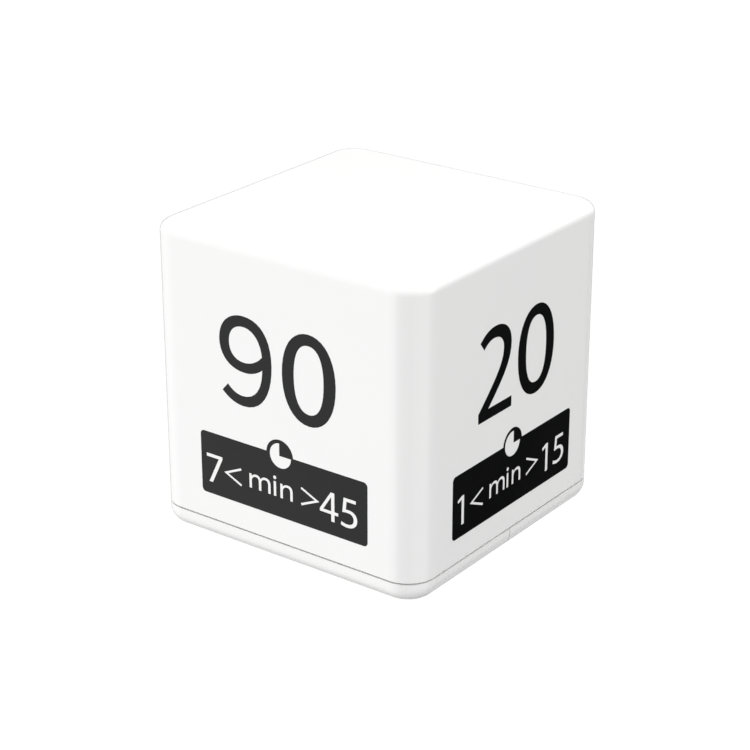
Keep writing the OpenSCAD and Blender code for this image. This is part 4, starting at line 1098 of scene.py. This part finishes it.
class TIMER_OT_components(bpy.types.Operator):
    """Chips, diodes, crystal, capacitor, coil and the cans of the tilt sensors"""
    bl_idname = "timer.components"
    bl_label = "Board components"

    def execute(self, context):
        self.chips()
        self.crystal()
        self.capacitor()
        self.coil(context.scene.timer_board.winding_turns)
        self.tilt_cans()
        return {"FINISHED"}

    def chips(self):
        """Two rows of chips with their end caps, and two diodes."""
        body = block("chip", (0.2, 0.02, 0.04), (1.4, 0.78, 0.47), 0.03, 1)
        kinds = (("chip_resistors", "chip_black", "glazed_resistor"),
                 ("chip_capacitors", "terracotta_ceramic", "fired_tan_ceramic"))
        for (name, slot, material), y in zip(kinds, CHIP_ROWS):
            model = copied(body, "chip_model", moved())
            row = spaced(name, model, [moved(x, y, BOARD_TOP) for x in CHIP_LEFTS])
            hand_over(row, slot, material, "chip_parts")
        bpy.data.objects.remove(body)
        # tinned end caps with a small fillet of solder at each foot
        cap = joined("cap", [
            block("end_cap", (0, 0, 0.02), (0.32, 0.8, 0.5), 0.06),
            block("fillet", (-0.22, 0.08, 0.0), (0.1, 0.72, 0.2), 0.09),
        ])
        length, width = 1.6, 0.8
        ends = (moved(), moved(length, width, 0, 180))
        places = [moved(x, y, BOARD_TOP) @ end for y in CHIP_ROWS for x in CHIP_LEFTS for end in ends]
        hand_over(spaced("chip_end_caps", cap, places), *SOLDER, "chip_parts")
        # two diodes, moulded with sloping sides, a pale band and two tabs
        middle, half = (1.45, 0.65), 0.52
        case = cuboid("diode", (2.1, 1.24, half), (*middle, 0.32))
        edit(case, (bpy.ops.mesh.extrude_region_move, {
            "TRANSFORM_OT_translate": {"value": (0, 0, half * MM)},
        }), (bpy.ops.transform.resize, {
            "value": (0.9, 0.84, 1), "center_override": (middle[0] * MM, middle[1] * MM, 0),
        }), top=True)
        shaped(case, "BEVEL", width=0.05 * MM, segments=2, limit_method="ANGLE")
        places = [moved(DIODE_LEFT, y, BOARD_TOP) for y in DIODE_ROWS]
        hand_over(spaced("diode_bodies", case, places), "chip_black", "moulded_chip_epoxy", "chip_parts")
        band = block("band", (0.62, 0.14, 1.085), (0.88, 1.16, 1.108), 0.01, 1)
        hand_over(spaced("diode_bands", band, places), *LEGEND, "chip_parts")
        tab = joined("tab", [
            block("foot", (0.0, 0.3, 0.02), (0.5, 1.0, 0.2), 0.05),
            block("rise", (0.3, 0.3, 0.1), (0.48, 1.0, 0.55), 0.05),
        ])
        ends = (moved(), moved(2 * middle[0], 2 * middle[1], 0, 180))
        hand_over(spaced("diode_tabs", tab, [place @ end for place in places for end in ends]), *SOLDER,
                  "chip_parts")

    def crystal(self):
        """Can with a stepped base, lying on the board, and its two bent legs."""
        can = turned("crystal_shell", (
            (0.8, 0), (0.97, 0.05), (1.0, 0.12), (1.0, 0.36), (0.97, 0.44), (0.93, 0.5), (0.93, 5.55), (0.88, 5.8),
            (0.74, 5.95), (0.5, 6.0),
        ))
        hand_over(can, *NICKEL, "crystal_can", at=moved(*CRYSTAL, 90, "Y"))
        _, middle, height = CRYSTAL
        foot, legs = 5.2, []
        for side in (-1, 1):
            y = middle + side * 0.5
            path = through(((6.7, middle + side * 0.38, height), (6.1, middle + side * 0.4, height),
                            (5.5, y, height - 0.1), (foot + 0.02, y, 10.8), (foot, y, BOARD_TOP)), 6)
            legs.append(wire("leg", path, 0.14))
            legs.append(turned("leg_joint", ((0.45, 0), (0.42, 0.06), (0.28, 0.2), (0.2, 0.42), (0.1, 0.46)), 20))
            legs[-1].data.transform(moved(foot, y, BOARD_TOP + 0.02))
        hand_over(joined("crystal_legs", legs), *SOLDER, "crystal_can")

    def capacitor(self):
        """Crimped can on its rubber seat, with a shrunk sleeve and a pale stripe."""
        foot = moved(*CAPACITOR)
        seat = turned("capacitor_seat", ((2.55, 0.0), (2.65, 0.1), (2.65, 0.66), (2.55, 0.78), (2.2, 0.8)), 56)
        hand_over(seat, "black_abs", "etched_black_abs", "capacitor", at=foot)
        sleeve = turned("capacitor_sleeve", (
            (2.2, 0.7), (2.44, 0.78), (2.5, 0.95), (2.5, 1.3), (2.38, 1.5), (2.36, 1.62), (2.38, 1.74), (2.5, 1.95),
            (2.5, 6.72), (2.42, 6.86), (2.2, 6.9), (2.16, 6.84),
        ), 56)
        hand_over(sleeve, "capacitor_sleeve", "shrunk_blue_sleeve", "capacitor", at=foot)
        # bare top with its star of scores
        head = 7.0
        top = turned("capacitor_top", ((2.14, 6.8), (2.14, 6.9), (2.05, 6.97), (1.8, head)), 56)
        for angle in (0, 60, 120):
            cut(top, cuboid("score", (3.2, 0.14, 0.12), (0, 0, head), angle))
        hand_over(top, "plated_steel", "drawn_aluminium", "capacitor", at=foot)
        # pale stripe down the side of the minus leg, broken by three bars
        shapes = rectangle(2.05, -0.8, 6.6, 0.8)
        for x in (2.9, 4.3, 5.7):
            shapes += rectangle(x - 0.13, -0.42, x + 0.13, 0.42)
        stripe = wrapped(flat_piece("capacitor_stripe", shapes, ABOVE, -0.002 * MM, 0.014 * MM), 2.5)
        stripe.data.transform(foot @ moved(angle=-90) @ moved(angle=-90, axis="Y"))
        hand_over(closed(stripe), *LEGEND, "capacitor")

    def coil(self, turns):
        """Ferrite spool with one layer of wire to see, and its ends led down to the board."""
        foot = moved(*COIL)
        core = turned("coil_core", (
            (2.82, 0), (2.95, 0.05), (3.0, 0.16), (3.0, 0.66), (2.95, 0.76), (2.85, 0.8), (2.0, 0.8), (2.0, 4.2),
            (2.85, 4.2), (2.95, 4.24), (3.0, 4.34), (3.0, 4.84), (2.95, 4.95), (2.82, 5.0),
        ), 56)
        hand_over(core, "ferrite", "sintered_ferrite", "driver_coil", at=foot)
        # winding: its outer layer, the layers under it and its two ends
        rise, radius, low = 3.3, 2.66, 0.95
        pitch = rise / turns
        spool = wire("winding", helix(radius, pitch, turns, 32), pitch * 0.49)
        spool.data.transform(moved(z=low))
        inner = turned("inner", ((2.45, 0.85), (2.6, 0.9), (2.6, 4.1), (2.45, 4.15)))
        ends = [wire("end", through(points, 6), pitch * 0.42) for points in (
            ((radius, 0, low), (2.9, 1.0, 0.9), (3.2, 2.2, 0.5), (1.8, 3.5, 0.12), (0.2, 3.6, 0.1)),
            ((radius, 0, 4.2), (2.95, -0.9, 3.9), (3.4, -1.8, 2.4), (2.0, -3.3, 0.3), (0.2, -3.6, 0.1)),
        )]
        hand_over(joined("coil_winding", [spool, inner, *ends]), "copper", "enamelled_copper", "driver_coil", at=foot)
        dot = turned("dot", ((0.6, 0), (0.56, 0.1), (0.4, 0.22), (0.15, 0.27)), 20)
        dots = spaced("coil_joints", dot, [moved(COIL[0], y, BOARD_TOP + 0.02) for y in (-10.9, -18.1)])
        hand_over(dots, *SOLDER, "driver_coil")

    def tilt_cans(self):
        """Drawn cups, each with a rounded end, two rolled grooves that hold its plug, and a turned mouth."""
        cup = turned("cup", (
            (1.55, 0.0), (1.7, 0.05), (2.08, 0.07), (2.3, 0.2), (2.4, 0.5), (2.4, 6.95), (2.34, 7.05), (2.26, 7.18),
            (2.34, 7.31), (2.4, 7.41), (2.4, 8.05), (2.34, 8.15), (2.26, 8.28), (2.34, 8.41), (2.4, 8.5),
            (2.4, 8.84), (2.33, 8.97), (2.2, 9.0), (2.11, 8.93), (2.1, 8.8), (2.1, 0.7), (1.9, 0.4), (1.5, 0.3),
            (0.1, 0.3),
        ), 64)
        row, height, half = -18.5, 12.7, 4.5
        lying = moved(angle=90, axis="Y") @ moved(z=-half)
        places = [moved(x, row, height, way) @ lying for x, way in ((-10, 135), (10, 45))]
        hand_over_copies(cup, numbered("tilt_shell", 2), places, *NICKEL, numbered("tilt_can", 2))


class TIMER_OT_cells(bpy.types.Operator):
    """The two cells with their printed sleeves, and the springs that press on them"""
    bl_idname = "timer.cells"
    bl_label = "Cells and springs"

    def execute(self, context):
        minus_end = 21.2
        places = [moved(-way * minus_end, y, CELL_HEIGHT, way * 90, "Y") for y, way in CELLS]
        parts = {
            # lacquered sleeve with its crimp groove, rolled in over both ends
            "sleeve": ("cell_can", "lacquered_graphite_steel", turned("sleeve", (
                (5.0, 0.2), (5.2, 0.35), (5.25, 0.7), (5.25, 40.1), (5.15, 40.35), (4.98, 40.7), (5.15, 41.05),
                (5.25, 41.3), (5.25, 43.2), (5.12, 43.55), (4.8, 43.7), (4.45, 43.62), (4.35, 43.35),
            ), 96)),
            "negative_plate": (*NICKEL, turned("plate", ((4.1, 0), (4.35, 0.1), (4.45, 0.3), (4.45, 0.6)), 72)),
            # insulating ring round the positive cap
            "washer": ("cell_can", "pressed_fibre", turned("washer", (
                (4.4, 43.1), (4.36, 43.36), (2.0, 43.4), (1.95, 43.3),
            ), 72)),
            # positive cap with its stepped nub
            "positive_nub": (*NICKEL, turned("nub", (
                (1.98, 43.2), (1.98, 43.46), (1.9, 43.54), (1.88, 44.22), (1.78, 44.42), (1.5, 44.49), (1.1, 44.5),
            ), 56)),
            # bright band printed round the sleeve
            "band": ("cell_can", "printed_silver_lacquer", turned("band", (
                (5.2, 33.9), (5.262, 34.0), (5.262, 38.0), (5.2, 38.1),
            ), 96)),
        }
        for part, (slot, material, model) in parts.items():
            names = [f"{cell}_{part}" for cell in numbered("cell", 2)]
            hand_over_copies(model, names, places, slot, material, numbered("battery_cell", 2))
        # plus, arrowheads and minus on the side that shows when the door is open
        size, pitch, point = 1.1, 4.2, 0.6
        for i, (y, way) in enumerate(CELLS):
            middle = way * 1.05
            shapes = loops(SIGNS["+"], (middle + way * 13.9, 0), size)
            shapes += loops(SIGNS["-"], (middle - way * 18.5, 0), size)
            for step in (-3, -2, -1, 0, 1):
                x = middle + way * step * pitch
                shapes += loops(f"M {x - way * point} -1 L {x + way * point} 0 L {x - way * point} 1 Z")
            signs = wrapped(flat_piece(f"cell_{i + 1}_signs", shapes, ABOVE, -0.004 * MM, 0.02 * MM), 5.25, 3)
            signs.data.transform(moved(0, y, CELL_HEIGHT, 180, "X"))
            hand_over(closed(signs), *LEGEND, f"battery_cell_{i + 1}")
        self.springs()
        return {"FINISHED"}

    def springs(self):
        """Conical springs whose first and last turns lie nearly flat."""
        steps, turns = 40, 3.5
        rise, wide, narrow = 1.96, 3.5, 2.1
        path = []
        for i in range(int(steps * turns) + 1):
            t = i / (steps * turns)
            r, a = wide + (narrow - wide) * t, math.tau * turns * t
            along = rise * (0.5 * t + 0.5 * (3 * t * t - 2 * t ** 3))
            path.append((along, r * math.cos(a), r * math.sin(a)))
        foot, gauge = 23.53, 0.3
        for i, (y, way) in enumerate(CELLS):
            places = [(way * (p[0] - foot), y + p[1], CELL_HEIGHT + p[2]) for p in path]
            coil = wire(f"spring_{i + 1}", places, gauge, 3)
            hand_over(coil, "plated_steel", "nickelled_spring_wire", "contact_springs", smooth=60)


# Each lead: slot, finish, node it stands for, and the points it passes
LEADS = {
    "battery_red": ("lead_red", "extruded_red_vinyl", "battery_lead_red", (
        (23.25, 6.1, 15.05), (22.25, 5.1, 15.35), (21.4, 2.6, 15.35), (20.9, -0.3, 14.85), (20.7, -2, 12.4),
        (20.6, -2.5, 10.3))),
    "battery_black": ("lead_black", "extruded_black_vinyl", "battery_lead_black", (
        (23.25, 16.9, 15.05), (21.85, 14.9, 15.25), (20, 9, 14.75), (18.4, 3, 14.85), (18, -0.3, 14.85),
        (17.8, -2, 12.4), (17.8, -2.5, 10.3))),
    "sounder_red": ("lead_red", "extruded_red_vinyl", "sounder_lead_1", (
        (1.5, 8.5, 16.3), (1.7, 5.5, 17.05), (2.2, 2.4, 17.35), (2.6, -0.6, 15.55), (2.8, -2.1, 12.6),
        (2.8, -2.5, 10.3))),
    "sounder_black": ("lead_black", "extruded_black_vinyl", "sounder_lead_2", (
        (-1.6, 3.1, 16.05), (-1.9, 1.7, 16.85), (-2.2, 0.2, 16.35), (-2.6, -1.6, 14.35), (-2.8, -2.4, 12.2),
        (-2.8, -2.5, 10.3))),
}


class TIMER_OT_leads(bpy.types.Operator):
    """Battery and sounder leads, with their tinned cores and solder dots"""
    bl_idname = "timer.leads"
    bl_label = "Leads"

    def execute(self, context):
        settings = context.scene.timer_leads
        for name, (slot, material, node, points) in LEADS.items():
            path = through(points)
            sleeve = wire(f"lead_{name}", trimmed(path, settings.bare / MM), settings.insulation / MM, 4)
            hand_over(sleeve, slot, material, node, smooth=50)
            core = wire(f"lead_{name}_core", path, settings.core / MM)
            hand_over(core, *SOLDER, node, smooth=50)
        dome = turned("dome", ((0.62, 0), (0.6, 0.2), (0.5, 0.42), (0.3, 0.58), (0.1, 0.63)), 24)
        places = [moved(23.85, y, 15.02, -90, "Y") for y, _ in CELLS]            # on the contacts' tabs
        places += [moved(1.5, 8.5, 15.7), moved(-1.6, 3.1, 15.45)]               # on the sounder
        hand_over(spaced("lead_joints", dome, places), *SOLDER)
        return {"FINISHED"}


class TIMER_OT_stage(bpy.types.Operator):
    """Glowing floor, light tent, overhead light and the camera"""
    bl_idname = "timer.stage"
    bl_label = "Stage"

    def execute(self, context):
        settings = context.scene.timer_stage
        scene = context.scene
        scene.view_settings.view_transform = "Standard"
        # camera, aimed at a point over the middle of the base, then rolled
        a, e, r = settings.azimuth, settings.elevation, settings.roll
        back = Vector((math.sin(a) * math.cos(e), -math.cos(a) * math.cos(e), math.sin(e)))
        level = (-back).cross(UP).normalized()
        upright = level.cross(-back)
        right = level * math.cos(r) + upright * math.sin(r)
        above = upright * math.cos(r) - level * math.sin(r)
        deselect()
        bpy.ops.object.camera_add(location=(0, 0, 0))
        camera = context.active_object
        camera.name = "camera"
        camera.data.lens = settings.lens
        camera.data.sensor_width = 36
        camera.data.clip_start, camera.data.clip_end = 0.01, 50
        place = Vector((0, 0, settings.aim_height)) + back * settings.distance + right * settings.aim_aside
        camera.matrix_world = Matrix.Translation(place) @ Matrix((right, above, back)).transposed().to_4x4()
        scene.camera = camera
        # glowing bowl that only the camera sees: it takes no shadow, and the light tent outside it lights the timer
        wide, high = 2.5, 3
        floor = begin("mesh.cylinder", "floor", vertices=128, radius=wide, depth=high, location=(0, 0, high / 2))
        edit(floor, (bpy.ops.mesh.delete, {"type": "FACE"}), top=True)
        floor.data.materials.append(finish("backlit_opal_acrylic"))
        floor.visible_diffuse = floor.visible_glossy = floor.visible_shadow = False
        # white light tent with its cards, each blended over the ones before it
        world = bpy.data.worlds.new("white_surroundings")
        scene.world = world
        world.use_nodes = True
        world.node_tree.nodes.clear()
        place = add(world.node_tree, "ShaderNodeTexCoord")
        level = settings.tent
        for direction, strength, start, end in CARDS:
            side = add(world.node_tree, "ShaderNodeVectorMath", {0: place.outputs["Generated"], 1: direction},
                       operation="DOT_PRODUCT")
            level = add(world.node_tree, "ShaderNodeMapRange", {
                "Value": side.outputs["Value"], "From Min": start, "From Max": end,
                "To Min": level, "To Max": strength,
            }).outputs[0]
        sky = add(world.node_tree, "ShaderNodeBackground", {"Color": (1, 1, 1, 1), "Strength": level})
        add(world.node_tree, "ShaderNodeOutputWorld", {"Surface": sky.outputs[0]})
        # soft light overhead
        lamp_height, lamp_size = 0.9, 0.6
        deselect()
        bpy.ops.object.light_add(type="AREA", location=(0, 0, lamp_height))
        light = context.active_object
        light.name = "overhead_light"
        light.data.energy = settings.overhead
        light.data.size = lamp_size
        return {"FINISHED"}


class TIMER_PT_panel(bpy.types.Panel):
    """Lists the steps that finish the timer"""
    bl_idname = "TIMER_PT_panel"
    bl_label = "Cube Timer"
    bl_space_type = "VIEW_3D"
    bl_region_type = "UI"
    bl_category = "Timer"

    def draw(self, context):
        layout = self.layout
        for group in GROUPS:
            settings = getattr(context.scene, group)
            box = layout.box()
            for name in settings.bl_rna.properties.keys():
                if name not in ("rna_type", "name"):
                    box.prop(settings, name)
        for step in STEPS:
            layout.operator(step.bl_idname)


STEPS = (
    TIMER_OT_stage, TIMER_OT_finishes, TIMER_OT_prints, TIMER_OT_display, TIMER_OT_base_marks, TIMER_OT_screws,
    TIMER_OT_board, TIMER_OT_components, TIMER_OT_cells, TIMER_OT_leads,
)
GROUPS = {
    "timer_case": TimerCaseSettings,
    "timer_prints": TimerPrintSettings,
    "timer_display": TimerDisplaySettings,
    "timer_screws": TimerScrewSettings,
    "timer_board": TimerBoardSettings,
    "timer_leads": TimerLeadSettings,
    "timer_stage": TimerStageSettings,
}


def register():
    for cls in (*GROUPS.values(), *STEPS, TIMER_PT_panel):
        bpy.utils.register_class(cls)
    for name, cls in GROUPS.items():
        setattr(bpy.types.Scene, name, PointerProperty(type=cls))


def unregister():
    for name in GROUPS:
        delattr(bpy.types.Scene, name)
    for cls in reversed((*GROUPS.values(), *STEPS, TIMER_PT_panel)):
        bpy.utils.unregister_class(cls)


def main():
    register()
    for step in STEPS:
        group, name = step.bl_idname.split(".")
        getattr(getattr(bpy.ops, group), name)()


if __name__ == "__main__":
    main()
